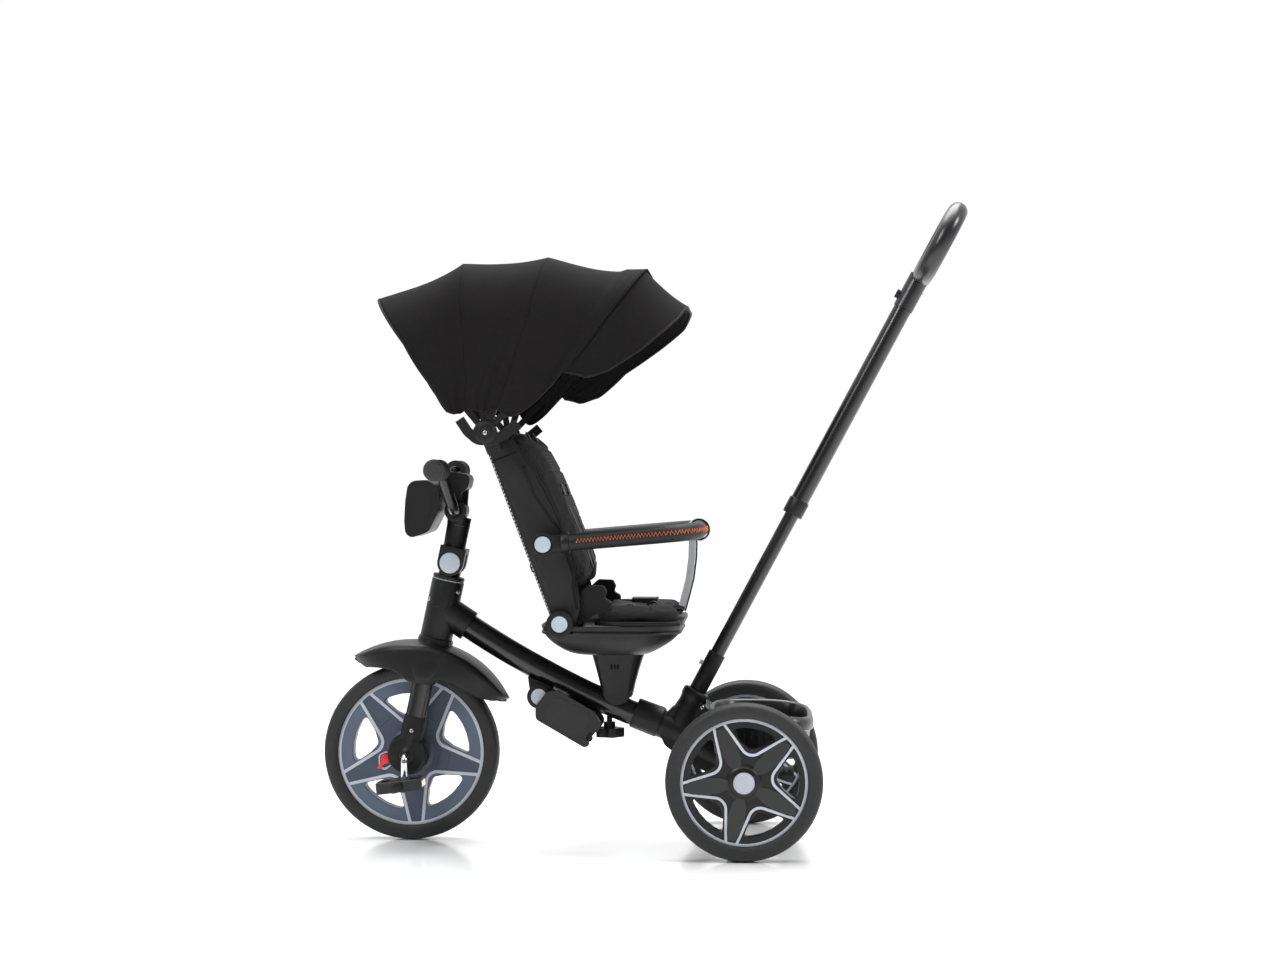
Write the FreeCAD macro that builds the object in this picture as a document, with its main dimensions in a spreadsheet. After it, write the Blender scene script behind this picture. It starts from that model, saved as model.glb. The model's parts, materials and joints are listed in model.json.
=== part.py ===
import FreeCAD, Part
import math
import os
import re
import Sketcher
from FreeCAD import Placement, Rotation, Vector

# Folding child's tricycle: frame, steering, wheels, swivel seat, canopy and push handle.
# +X points to the rear (push handle), +Z up, the child's left side is -Y, millimetres.
doc = FreeCAD.newDocument("tricycle")

sizes = {
    "frontX": -357.5, "frontRadius": 135.5, "frontTyreWall": 22, "frontTyreWidth": 42,
    "frontWindowInner": 52, "frontWindowOuter": 90, "frontDiscWidth": 28, "frontWindowTurn": 22.5,
    "rearX": 158, "rearRadius": 115.3, "rearTyreWall": 22, "rearTyreWidth": 42,
    "rearWindowInner": 47, "rearWindowOuter": 84, "rearDiscWidth": 26, "rearWindowTurn": 6,
    "rearTrack": 390, "windowHalfTurn": 25, "axleRadius": 6, "runGap": 0.05, "bodyGap": 0.4,
    "rake": 12, "postRadius": 11, "bushRadius": 14, "headRadius": 25,
    "headBottom": 180, "headTop": 269.5, "foldHeight": 298,
    "tubeRadius": 19, "tubeWall": 2, "tubeBend": 1437, "bendX": 524.2, "bendZ": 1527,
    "tubeFrontSlope": 34.5, "tubeRearSlope": 20.2, "lugWidth": 46, "casingRadius": 17, "casingLength": 330,
    "handleTilt": 28.2, "handleX": 114.8, "handleZ": 287.8, "lowerTubeRadius": 11, "socketRadius": 13.5,
    "socketLength": 82, "lowerTubeTop": 352, "upperTubeRadius": 14, "upperTubeFoot": 242, "upperTubeTop": 600,
    "loopTop": 773, "loopHalfWidth": 92, "loopRadius": 15, "loopSet": 3,
    "basketFront": 101, "basketRear": 262, "basketHalfWidth": 135, "basketFloor": 139, "basketTop": 206,
    "basketWall": 5,
    "bladeRadius": 16, "bladeOffset": 45, "bladeFoot": 60, "hubRadius": 27,
    "crankThrow": 38, "crankRadius": 5, "crankReach": 84, "pedalLength": 69, "pedalWidth": 62,
    "pedalThickness": 18,
    "barX": -302.7, "barZ": 569, "barRadius": 9, "barHalfWidth": 150, "gripRadius": 14,
    "swivelX": -48, "pedestalTop": 289, "seatBottom": 290, "seatRim": 337, "seatFront": 63, "seatBack": -149,
    "seatHalfWidth": 146, "shellWall": 4, "pinRadius": 6,
    "reclineX": -116.1, "reclineZ": 340.6, "reclineTilt": 20.9, "backHalfWidth": 128,
    "earRadius": 20, "capRadius": 12,
    "bumperX": -140.2, "bumperZ": 459.2, "bumperRise": 4.9, "bumperReach": 228, "bumperHalfWidth": 148,
    "bumperRadius": 13.5, "bumperCorner": 62,
    "hubX": -224.3, "hubZ": 624.5, "hubCapRadius": 18, "hubPinRadius": 5, "bowThickness": 3, "bowWidth": 10,
    "bowCorner": 86, "bowLayer": 149.5, "bowPitch": 4, "canopyHalfWidth": 165.5, "clothThickness": 2.5, "clothLift": 6.8,
    "rearBowAngle": 130, "rearBowReach": 259, "backBowAngle": 99.4, "backBowReach": 253,
    "topBowAngle": 72, "topBowReach": 272, "frontBowAngle": 46.3, "frontBowReach": 330,
    "visorAngle": 31, "visorReach": 350,
    "footX": -158, "footZ": 222.5, "podTilt": 30, "podArm": 28,
    "plateThickness": 9, "knobX": -51.4, "knobRadius": 23, "knobScrewRadius": 4.25,
}

sheet = doc.addObject("Spreadsheet::Sheet", "Sizes")
for row, (word, value) in enumerate(sizes.items(), start=1):
    sheet.set("A%d" % row, word)
    sheet.set("B%d" % row, str(value))
    sheet.setAlias("B%d" % row, word)
doc.recompute()


def size(word):
    return float(getattr(sheet, word))


def bind(item, **links):
    """Tie properties to formulas of spreadsheet words."""
    for prop, formula in links.items():
        text = re.sub(r"[A-Za-z]\w+", lambda found: "Sizes." + found.group(0), formula)
        item.setExpression(prop.replace("__", "."), text)
    return item


parts = []


def node(label, item, place=None):
    item.Label = label
    if place is not None:
        item.Placement = place
    parts.append(item)
    return item


def feature(label, shape, place=None):
    item = doc.addObject("Part::Feature", label)
    item.Shape = shape
    return node(label, item, place)


def turned(base, axis, angle):
    return Placement(base, Rotation(axis, angle))


sideAxis = Vector(0, 1, 0)
upAxis = Vector(0, 0, 1)
frontCentre = Vector(size("frontX"), 0, size("frontRadius"))
rearCentre = Vector(size("rearX"), 0, size("rearRadius"))
steering = turned(frontCentre, sideAxis, size("rake"))
handle = turned(Vector(size("handleX"), 0, size("handleZ")), sideAxis, size("handleTilt"))
recline = turned(Vector(size("reclineX"), 0, size("reclineZ")), sideAxis, -size("reclineTilt"))
bumper = turned(Vector(size("bumperX"), 0, size("bumperZ")), sideAxis, -size("bumperRise"))
hubCentre = Vector(size("hubX"), 0, size("hubZ"))


def cylinder(radius, height, base=Vector(), axis=upAxis):
    """A Part cylinder whose radius and height are formulas, standing on base along axis."""
    item = bind(doc.addObject("Part::Cylinder", "rod"), Radius=radius, Height=height)
    item.Placement = Placement(base, Rotation(upAxis, axis))
    return item


def box(length, width, height, base):
    item = bind(doc.addObject("Part::Box", "block"), Length=length, Width=width, Height=height)
    item.Placement.Base = base
    return item


def fuse(label, *items):
    item = doc.addObject("Part::MultiFuse", label)
    item.Shapes = list(items)
    return item


def cut(label, base, *tools):
    item = doc.addObject("Part::Cut", label)
    item.Base = base
    item.Tool = tools[0] if len(tools) == 1 else fuse(label + "_cutter", *tools)
    return item


def group(label, *items):
    item = doc.addObject("Part::Compound", label)
    item.Links = list(items)
    return item


def plane(body, role):
    return next(item for item in body.Origin.OriginFeatures if item.Role == role)


def sketchOn(body, role):
    sketch = body.newObject("Sketcher::SketchObject", "outline")
    sketch.AttachmentSupport = [(plane(body, role), "")]
    sketch.MapMode = "FlatFace"
    return sketch


def addLoop(sketch, points, smooth=False):
    """Close a loop through flat points with straight or with one smooth line."""
    corners = [Vector(x, y, 0) for x, y in points]
    if smooth:
        curve = Part.BSplineCurve()
        curve.interpolate(Points=corners, PeriodicFlag=True)
        sketch.addGeometry(curve)
        return
    for start, end in zip(corners, corners[1:] + corners[:1]):
        sketch.addGeometry(Part.LineSegment(start, end))


def addCircle(sketch, radius):
    index = sketch.addGeometry(Part.Circle(Vector(), upAxis, 10))
    sketch.addConstraint(Sketcher.Constraint("Coincident", index, 3, -1, 1))
    row = sketch.addConstraint(Sketcher.Constraint("Radius", index, 10))
    bind(sketch, **{"Constraints[%d]" % row: radius})


def padded(name, loops, width, role="XZ_Plane", circles=(), smooth=False, placeAt=None):
    """A PartDesign body: one outline with its holes, padded evenly to both sides of its plane."""
    body = doc.addObject("PartDesign::Body", name)
    sketch = sketchOn(body, role)
    for loop in loops:
        addLoop(sketch, loop, smooth)
    for radius in circles:
        addCircle(sketch, radius)
    pad = body.newObject("PartDesign::Pad", "pad")
    pad.Profile = sketch
    pad.Midplane = True
    bind(pad, Length=width)
    body.Tip = pad
    if placeAt is not None:
        body.Placement = placeAt
    return body


def ringBody(name, outer, inner, width, rounding, centre):
    """A ring about the Y axis with rounded outer edges."""
    body = padded(name, [], width, circles=[outer, inner], placeAt=Placement(centre, Rotation()))
    doc.recompute()
    plain = body.Tip
    outerRadius = max(edge.Curve.Radius for edge in plain.Shape.Edges if hasattr(edge.Curve, "Radius"))
    rims = ["Edge%d" % (index + 1) for index, edge in enumerate(plain.Shape.Edges)
            if hasattr(edge.Curve, "Radius") and abs(edge.Curve.Radius - outerRadius) < 0.01]
    fillet = body.newObject("PartDesign::Fillet", "shoulder")
    fillet.Base = (plain, rims)
    fillet.Radius = rounding
    body.Tip = fillet
    return body


def roundedLoop(low, high, halfWidth, corner, z):
    """Horizontal rounded rectangle wire from x low to high."""
    points = []
    cornerCentres = ((high - corner, halfWidth - corner, 0), (low + corner, halfWidth - corner, 90),
                     (low + corner, corner - halfWidth, 180), (high - corner, corner - halfWidth, 270))
    for x, y, start in cornerCentres:
        for turn in (0, 45, 90):
            angle = math.radians(start + turn)
            points.append(Vector(x + corner * math.cos(angle), y + corner * math.sin(angle), z))
    edges = []
    for index in range(0, 12, 3):
        a, b, c = points[index:index + 3]
        edges.append(Part.Arc(a, b, c).toShape())
        edges.append(Part.LineSegment(c, points[(index + 3) % 12]).toShape())
    return Part.Wire(edges)


def archPath(halfWidth, foot, top, corner):
    """Upside-down U in the YZ plane, as a list of curves from the -Y foot to the +Y foot."""
    bend = corner * math.sqrt(0.5)
    left = Vector(0, -halfWidth + corner - bend, top - corner + bend)
    right = Vector(0, halfWidth - corner + bend, top - corner + bend)
    return [Part.LineSegment(Vector(0, -halfWidth, foot), Vector(0, -halfWidth, top - corner)),
            Part.Arc(Vector(0, -halfWidth, top - corner), left, Vector(0, -halfWidth + corner, top)),
            Part.LineSegment(Vector(0, -halfWidth + corner, top), Vector(0, halfWidth - corner, top)),
            Part.Arc(Vector(0, halfWidth - corner, top), right, Vector(0, halfWidth, top - corner)),
            Part.LineSegment(Vector(0, halfWidth, top - corner), Vector(0, halfWidth, foot))]


def archBand(halfWidth, foot, top, corner, thickness):
    """Closed outline of a U-shaped strip, as a wire in the YZ plane."""
    outer = [curve.toShape() for curve in archPath(halfWidth, foot, top, corner)]
    inner = [curve.toShape() for curve in
             archPath(halfWidth - thickness, foot, top - thickness, corner - thickness)]
    feet = [Part.LineSegment(Vector(0, side * halfWidth, foot),
                             Vector(0, side * (halfWidth - thickness), foot)).toShape() for side in (1, -1)]
    return Part.Wire(Part.__sortEdges__(outer + inner + feet))


def windows(count, turn, inner, outer, halfTurn):
    """Openings of a star-shaped wheel disc: a point inwards and an arc of short chords outside."""
    loops = []
    for index in range(count):
        middle = math.radians(turn + index * 360 / count)
        half = math.radians(halfTurn)
        loop = [(inner * math.cos(middle), inner * math.sin(middle))]
        for step in range(-2, 3):
            angle = middle + half * step / 2
            loop.append((outer * math.cos(angle), outer * math.sin(angle)))
        loops.append(loop)
    return loops


# ---- frame: main tube, lugs, rear axle, basket ----
def tubeArc(radius, frontExtra=0.0, rearExtra=0.0):
    """Slice of a ring that follows the main tube's long bend."""
    item = doc.addObject("Part::Torus", "bend")
    bind(item, Radius1="tubeBend", Radius2=radius)
    # The ring lies in the XZ plane; its slice starts at the rear slope and runs to the front slope.
    item.Angle3 = size("tubeFrontSlope") - size("tubeRearSlope") + frontExtra + rearExtra
    start = 90 + size("tubeRearSlope") - rearExtra
    centre = Vector(size("bendX"), 0, size("bendZ"))
    item.Placement = Placement(centre, Rotation(sideAxis, start).multiply(Rotation(Vector(1, 0, 0), -90)))
    return item


knobHole = cylinder("knobScrewRadius + bodyGap", "pedestalTop - 170", Vector(size("knobX"), 0, 170))
node("main_tube", cut("main_tube", tubeArc("tubeRadius"), tubeArc("tubeRadius - tubeWall", 1, 1), knobHole))

slope = math.radians(33.5)
collarBase = Vector(-310.6, 0, 356.1)
collarAxis = Vector(math.cos(slope), 0, -math.sin(slope))
headShell = cylinder("headRadius", "headTop - headBottom")
headShell.Placement = steering.multiply(Placement(Vector(0, 0, size("headBottom")), Rotation()))
headBore = cylinder("bushRadius", "headTop")
headBore.Placement = steering.multiply(Placement(Vector(0, 0, 100), Rotation()))
headCollar = cylinder("headRadius - 1", "50", collarBase, collarAxis)
node("head_lug", cut("head_lug", fuse("head_body", headShell, headCollar), headBore,
                     tubeArc("tubeRadius + runGap", 1)))

bushes = []
for foot in (size("headBottom") - 1, size("headTop") - 20.8):
    ring = cut("bush", cylinder("bushRadius - runGap", "22"), cylinder("postRadius + runGap", "22"))
    ring.Placement = steering.multiply(Placement(Vector(0, 0, foot), Rotation()))
    bushes.append(ring)
node("steering_bushes", group("steering_bushes", *bushes))

lugOutline = [(17.5, 206.5), (40, 214), (50, 226), (64.6, 230), (98, 230), (100, 200), (102, 138),
              (150, 136), (172, 132), (180, 115), (172, 97), (150, 92), (95, 104), (40, 128), (20, 142),
              (1.3, 164.5)]
lugBlock = padded("lug_block", [lugOutline], "lugWidth")
casing = cylinder("casingRadius", "casingLength", rearCentre - sideAxis * size("casingLength") / 2, sideAxis)
axleBore = cylinder("axleRadius + runGap", "casingLength + 10", rearCentre - sideAxis * 170, sideAxis)
socketPlace = handle.multiply(Placement(Vector(0, 0, -size("socketLength")), Rotation()))
socketBore = cylinder("socketRadius + runGap", "socketLength + 20")
socketBore.Placement = socketPlace
node("rear_lug", cut("rear_lug", fuse("lug_body", lugBlock, casing), axleBore, socketBore,
                     tubeArc("tubeRadius + runGap", 0, 0.3)))
node("rear_axle", cylinder("axleRadius", "rearTrack + 34",
                           rearCentre - sideAxis * (size("rearTrack") / 2 + 17), sideAxis))


def socketCross(radius, height, depth):
    """A short rod through the socket's front wall, square to the handle."""
    item = cylinder(radius, height)
    item.Placement = handle.multiply(Placement(Vector(-depth, 0, -23), Rotation(upAxis, Vector(1, 0, 0))))
    return item


socketTube = cylinder("socketRadius", "socketLength")
socketTube.Placement = socketPlace
socketHole = cylinder("lowerTubeRadius + runGap", "socketLength + 10")
socketHole.Placement = handle.multiply(Placement(Vector(0, 0, -size("socketLength") + 4), Rotation()))
node("handle_socket", cut("handle_socket", socketTube, socketHole, socketCross("4 + bodyGap", "20", 20)))

lowerTube = cylinder("lowerTubeRadius", "lowerTubeTop + socketLength - 6")
lowerTube.Placement = handle.multiply(Placement(Vector(0, 0, -size("socketLength") + 5), Rotation()))
lowerBore = cylinder("lowerTubeRadius - 1.5", "lowerTubeTop + socketLength")
lowerBore.Placement = handle.multiply(Placement(Vector(0, 0, -size("socketLength") + 4), Rotation()))
node("handle_lower_tube", cut("handle_lower_tube", lowerTube, lowerBore,
                              socketCross("4 + bodyGap", "20", 20)))
node("socket_button", socketCross("4", "7", 18.5))

basketLow, basketHigh = size("basketFloor"), size("basketTop")
basketShell = Part.makeLoft([
    roundedLoop(size("basketFront") + 12, size("basketRear") - 22, size("basketHalfWidth") - 16, 40, basketLow),
    roundedLoop(size("basketFront"), size("basketRear"), size("basketHalfWidth"), 55, basketHigh)], True)
basketSpace = Part.makeLoft([
    roundedLoop(size("basketFront") + 17, size("basketRear") - 27, size("basketHalfWidth") - 21, 36,
                basketLow + size("basketWall")),
    roundedLoop(size("basketFront") + 9, size("basketRear") - 9, size("basketHalfWidth") - 9, 46,
                basketHigh + 0.5)], True)
feature("rear_basket", basketShell.cut(basketSpace))

brakeArms = [cut("brake_arm", cylinder("casingRadius + 4.5", "10", rearCentre + sideAxis * y, sideAxis),
                 cylinder("casingRadius + bodyGap", "12", rearCentre + sideAxis * (y - 1), sideAxis))
             for y in (26, -36)]
brakeBeams = [box("30", "10", "8", Vector(size("rearX") + 19, y, 104)) for y in (26, -36)]
brakePlate = box("46", "72", "7", Vector(size("rearX") + 28, -36, 103))
brakeRibs = [box("3", "60", "3", Vector(size("rearX") + x, -30, 109)) for x in (34, 42, 50, 58, 66)]
node("brake_pedal", fuse("brake_pedal", brakePlate, *brakeArms, *brakeBeams, *brakeRibs))

# ---- footrest ----
footPivot = Vector(size("footX"), 0, size("footZ"))
footOutline = [(-176, 252), (-150, 242), (-138, 234), (-145, 222), (-150, 211), (-158, 208), (-167, 212),
               (-172, 222)]
footBlock = padded("foot_block", [footOutline], "38")
node("footrest_bracket", cut("footrest_bracket", footBlock, tubeArc("tubeRadius + runGap"),
                             cylinder("5 + runGap", "60", footPivot - sideAxis * 30, sideAxis)))
podPlace = turned(footPivot, sideAxis, size("podTilt"))
podArmOutline = [(-14, -6), (-8, 13), (6, 15), (40, 8), (96, 8), (102, -4), (98, -30), (30, -32), (0, -16)]
podArms = [padded("pod_arm", [podArmOutline], "7",
                  placeAt=podPlace.multiply(Placement(sideAxis * side * 24.4, Rotation()))) for side in (1, -1)]
podWeb = box("60", "2 * podArm - 2", "7", Vector(38, 1 - size("podArm"), -31))
podPin = cylinder("5", "2 * podArm + 6", -sideAxis * (size("podArm") + 3), sideAxis)
podDiscs = [cylinder("14", "3", sideAxis * y, sideAxis) for y in (size("podArm"), -size("podArm") - 3)]
podRest = fuse("pod_rest", podWeb, podPin, *podDiscs)
podRest.Placement = podPlace
node("footrest_pod", fuse("footrest_pod", podRest, *podArms))
for word, side in (("left", -1), ("right", 1)):
    plateLoop = [(14, -30), (4, -14), (8, 14), (20, 24), (86, 24), (104, 12), (104, -4), (92, -5), (92, -20),
                 (104, -20), (100, -31)]
    offset = sideAxis * side * (size("podArm") + 3.6 + size("plateThickness") / 2)
    plate = padded("plate_" + word, [plateLoop], "plateThickness",
                   placeAt=podPlace.multiply(Placement(offset, Rotation())))
    barrel = cylinder("3", "56", Vector(32, side * (size("podArm") + 3.6), -31), Vector(1, 0, 0))
    barrel.Placement = podPlace.multiply(barrel.Placement)
    node("foot_plate_" + word, fuse("foot_plate_" + word, plate, barrel))

# ---- seat post and its clamp knob ----
pedestalBlock = Part.makeLoft([roundedLoop(-60, -16, 26, 8, 222), roundedLoop(-68, -8, 32, 12, 255),
                               roundedLoop(-77, 3, 42, 16, size("pedestalTop"))], True)
pedestalLobe = Part.makeCylinder(22, 52, Vector(-38, -26, 232), sideAxis)
pedestalBody = doc.addObject("Part::Feature", "pedestal_body")
pedestalBody.Shape = pedestalBlock.fuse(pedestalLobe)
swivelPin = cylinder("12", "20", Vector(size("swivelX"), 0, size("pedestalTop") - 8))
pedestalBore = cylinder("knobScrewRadius + runGap", "90", Vector(size("knobX"), 0, 170))
node("seat_pedestal", cut("seat_pedestal", fuse("pedestal_whole", pedestalBody, swivelPin),
                          tubeArc("tubeRadius + bodyGap"), pedestalBore))

lobes = []
for index in range(40):
    angle = math.radians(index * 9)
    reach = size("knobRadius") * (0.9 + 0.1 * math.cos(5 * angle))
    lobes.append((reach * math.cos(angle), reach * math.sin(angle)))
knobPlace = Placement(Vector(size("knobX"), 0, 166), Rotation())
knobHead = padded("knob_head", [lobes], "14", "XY_Plane", smooth=True, placeAt=knobPlace)
node("seat_knob", fuse("seat_knob", knobHead, cylinder("9", "10", Vector(size("knobX"), 0, 172)),
                       cylinder("knobScrewRadius", "80", Vector(size("knobX"), 0, 174))))

# ---- seat base, cushion ----
shellSections = ((size("seatBottom"), -98, 9, 78, 40), (298, -118, 26, 104, 50), (314, -138, 50, 130, 60),
                 (328, -147, 61, 143, 66), (size("seatRim"), size("seatBack"), size("seatFront"),
                                            size("seatHalfWidth"), 68))
wall = size("shellWall")
outerShell = Part.makeLoft([roundedLoop(low, high, half, corner, z)
                            for z, low, high, half, corner in shellSections], True)
innerShell = Part.makeLoft([roundedLoop(low + wall, high - wall, half - wall, corner - wall, z + rise)
                            for (z, low, high, half, corner), rise in zip(shellSections, (5, 4, 3, 2, 1))], True)
shell = outerShell.cut(innerShell)
backSide = [(-11, -4), (-11, 285), (-4, 298), (16, 298), (28, 282), (42, 228), (51, 150), (51, 122),
            (43, 96), (41, 50), (37, 14), (18, -14), (0, -16)]
backFace = Part.Face(Part.makePolygon([Vector(x, 0, z) for x, z in backSide + backSide[:1]]))
backRoom = backFace.makeOffset2D(1.2).extrude(sideAxis * (2 * size("backHalfWidth") + 1.6))
backRoom.translate(-sideAxis * (size("backHalfWidth") + 0.8))
for lean in (0, 3.75, 7.5, 11.25, 15):
    room = backRoom.copy()
    room.Placement = recline.multiply(Placement(Vector(), Rotation(sideAxis, lean))).multiply(room.Placement)
    shell = shell.cut(room)
reclineCentre = Vector(size("reclineX"), 0, size("reclineZ"))
for side in (1, -1):
    inner = reclineCentre + sideAxis * side * (size("backHalfWidth") + 1)
    shell = shell.fuse(Part.makeCylinder(size("earRadius"), 19, inner, sideAxis * side))
    shell = shell.fuse(Part.makeCylinder(size("pinRadius"), 22, inner - sideAxis * side * 20, sideAxis * side))
    shell = shell.cut(Part.makeCylinder(size("capRadius") + 0.4, 12, inner + sideAxis * side * 11,
                                        sideAxis * side))
shell = shell.cut(Part.makeCylinder(12.05, 30, Vector(size("swivelX"), 0, 280)))
feature("seat_base", shell)
for word, side in (("left", -1), ("right", 1)):
    inner = reclineCentre + sideAxis * side * (size("backHalfWidth") + 16)
    node("recline_button_" + word, cylinder("capRadius", "6", inner, sideAxis * side))
seatPad = Part.makeLoft([roundedLoop(-66, 57, 136, 50, 338.5), roundedLoop(-66, 63, 138, 48, 352),
                         roundedLoop(-62, 58, 128, 45, 363)], True)
feature("seat_pad", seatPad)

# ---- backrest ----
half = size("backHalfWidth")
backPocket = [(-6, 20), (-6, 330), (120, 330), (120, 20)]
backOuter = padded("back_outer", [backSide], "2 * backHalfWidth")
backInner = padded("back_inner", [backPocket], "2 * backHalfWidth - 14")
reclineBores = [cylinder("pinRadius + runGap", "24", Vector(0, y, 0), sideAxis) for y in (half - 22, -half - 2)]
bumperLocal = recline.inverse().multVec(Vector(size("bumperX"), 0, size("bumperZ")))
bumperBosses = [cylinder("17", "14", bumperLocal + sideAxis * y, sideAxis) for y in (half - 2, -half - 12)]
bumperPins = [cylinder("pinRadius", "10", bumperLocal + sideAxis * y, sideAxis)
              for y in (half + 11, -half - 21)]
hubLocal = recline.inverse().multVec(hubCentre)
hubArms = [box("22", "15", "30", Vector(hubLocal.x - 11, y, hubLocal.z - 30))
           for y in (half - 2, -half - 13)]
backShell = cut("back_shell", fuse("back_whole", backOuter, *bumperBosses, *bumperPins, *hubArms),
                backInner, *reclineBores)
node("back_shell", backShell, recline)
padSide = [(22, 34), (-5.5, 60), (-5.5, 290), (50, 292), (62, 220), (66, 140), (65, 60), (60, 36)]
node("back_pad", padded("back_pad", [padSide], "2 * backHalfWidth - 18"), recline)

hubPins = []
for side in (1, -1):
    inner = hubCentre + sideAxis * side * (half + 14)
    hubPins.append(fuse("hub", cylinder("hubCapRadius - 2", "5", inner, sideAxis * side),
                        cylinder("hubPinRadius", "28", inner, sideAxis * side),
                        cylinder("hubCapRadius", "6", inner + sideAxis * side * 22, sideAxis * side)))
node("canopy_hubs", group("canopy_hubs", *hubPins))

# ---- canopy bows and cloth ----
bows = (("rear_bow", "rearBow", 0), ("back_rib", "backBow", 1), ("top_rib", "topBow", 2),
        ("front_bow", "frontBow", 3))


def bowPlace(angle):
    return turned(hubCentre, sideAxis, 90 - angle)


for name, word, layer in bows:
    span = size("bowLayer") + layer * size("bowPitch") + size("bowThickness") / 2
    reach = size(word + "Reach")
    strip = Part.Face(archBand(span, 0, reach, size("bowCorner"), size("bowThickness")))
    halfWidth = size("bowWidth") / 2
    strip.translate(Vector(-halfWidth, 0, 0))
    bow = strip.extrude(Vector(size("bowWidth"), 0, 0))
    for side in (1, -1):
        start = Vector(0, side * (span - size("bowThickness")), 0)
        bow = bow.fuse(Part.makeCylinder(10, size("bowThickness"), start, sideAxis * side))
    bow = bow.cut(Part.makeCylinder(size("hubPinRadius") + size("runGap"), 400, Vector(0, -200, 0), sideAxis))
    feature(name, bow.removeSplitter(), bowPlace(size(word + "Angle")))


def clothSection(angle, reach, foot):
    band = archBand(size("canopyHalfWidth") + size("clothThickness"), foot, reach + size("clothLift"),
                    size("bowCorner") + 4, size("clothThickness"))
    band.Placement = bowPlace(angle)
    return band


margin = 0.25
panels = (("canopy_rear", ("rearBow", 34), ("backBow", 34)), ("canopy_middle", ("backBow", 34), ("topBow", 34)),
          ("canopy_front", ("topBow", 34), ("frontBow", 120)))
for name, (fromWord, fromFoot), (toWord, toFoot) in panels:
    sections = [clothSection(size(fromWord + "Angle") - margin, size(fromWord + "Reach"), fromFoot),
                clothSection(size(toWord + "Angle") + margin, size(toWord + "Reach"), toFoot)]
    feature(name, Part.makeLoft(sections, True, True))
visor = [clothSection(size("frontBowAngle") - margin, size("frontBowReach"), 130),
         clothSection(size("visorAngle"), size("visorReach"), 262)]
feature("canopy_visor", Part.makeLoft(visor, True, True))

# ---- bumper bar and crotch strap ----
arm, reach, corner = size("bumperHalfWidth"), size("bumperReach"), size("bumperCorner")
bend = corner * math.sqrt(0.5)
barPath = Part.Wire([
    Part.LineSegment(Vector(30, -arm, 0), Vector(reach - corner, -arm, 0)).toShape(),
    Part.Arc(Vector(reach - corner, -arm, 0), Vector(reach - corner + bend, -arm + corner - bend, 0),
             Vector(reach, -arm + corner, 0)).toShape(),
    Part.LineSegment(Vector(reach, -arm + corner, 0), Vector(reach, arm - corner, 0)).toShape(),
    Part.Arc(Vector(reach, arm - corner, 0), Vector(reach - corner + bend, arm - corner + bend, 0),
             Vector(reach - corner, arm, 0)).toShape(),
    Part.LineSegment(Vector(reach - corner, arm, 0), Vector(30, arm, 0)).toShape()])
barRing = Part.Wire([Part.makeCircle(size("bumperRadius"), Vector(30, -arm, 0), Vector(1, 0, 0))])
barShape = barPath.makePipeShell([barRing], True, False)
feature("bumper_bar", barShape, bumper)
sockets = []
for side in (1, -1):
    ring = Part.makeCylinder(17, 14.6, Vector(0, side * (half + 12.4), 0), sideAxis * side)
    block = Part.makeBox(29.6, 14.6, 24, Vector(0, side * (half + 12.4) - (14.6 if side < 0 else 0), -12))
    ring = ring.fuse(block).cut(Part.makeCylinder(size("pinRadius") + 0.05, 12, Vector(0, side * half, 0),
                                                  sideAxis * side).fuse(
        Part.makeCylinder(size("pinRadius") + 0.05, 14, Vector(0, side * (half + 10), 0), sideAxis * side)))
    ring = ring.cut(Part.makeCylinder(size("capRadius") + 0.4, 10, Vector(0, side * (half + 21.4), 0),
                                      sideAxis * side))
    sockets.append(ring)
feature("bumper_sockets", Part.makeCompound(sockets), bumper)
for word, side in (("left", -1), ("right", 1)):
    seatAt = bumper.multVec(sideAxis * side * (half + 25))
    node("bumper_button_" + word, cylinder("capRadius", "5.5", seatAt, sideAxis * side))
strapLine = [(92, 463), (84, 463), (76, 410), (60, 366), (68, 366), (84, 408)]
node("crotch_strap", padded("crotch_strap", [strapLine], "32"))

# ---- fork, fender and stem ----
def onSteering(item, z=0.0, x=0.0, y=0.0):
    item.Placement = steering.multiply(Placement(Vector(x, y, z), Rotation()))
    return item


node("steering_post", onSteering(cylinder("postRadius", "foldHeight - 164"), 143.3))

crown = Part.makeLoft([Part.Wire([Part.makeCircle(radius, Vector(0, 0, z))])
                       for radius, z in ((27, 178.5), (31, 160), (50, 142))], True)
legGap = size("bladeOffset") - size("bladeRadius") - 3
crown = crown.fuse(Part.makeBox(56, 124, 30.5, Vector(-28, -62, 112)))
crown = crown.fuse(Part.makeCylinder(50, 6, Vector(0, 0, 137)))
crown = crown.cut(Part.makeBox(120, 2 * legGap, 60, Vector(-60, -legGap, 78.5)))
fenderSection = [(138, -33), (152, -32), (163, -24), (169, -8), (169, 8), (163, 24), (152, 32), (138, 33),
                 (138, 30), (151, 29), (160.5, 22), (166, 7), (166, -7), (160.5, -22), (151, -29), (138, -30)]
fenderFace = Part.Face(Part.makePolygon([Vector(r, y, 0) for r, y in fenderSection + fenderSection[:1]]))
fenderFace.rotate(Vector(), sideAxis, -40.5)
fender = fenderFace.revolve(Vector(), sideAxis, -93)
crown = crown.fuse(fender).cut(Part.makeCylinder(size("postRadius") + 0.05, 60, Vector(0, 0, 130)))
crown = crown.cut(Part.makeCylinder(size("frontRadius") + 3, 52, Vector(0, -26, 0), sideAxis))
feature("fender", crown, steering)

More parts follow.
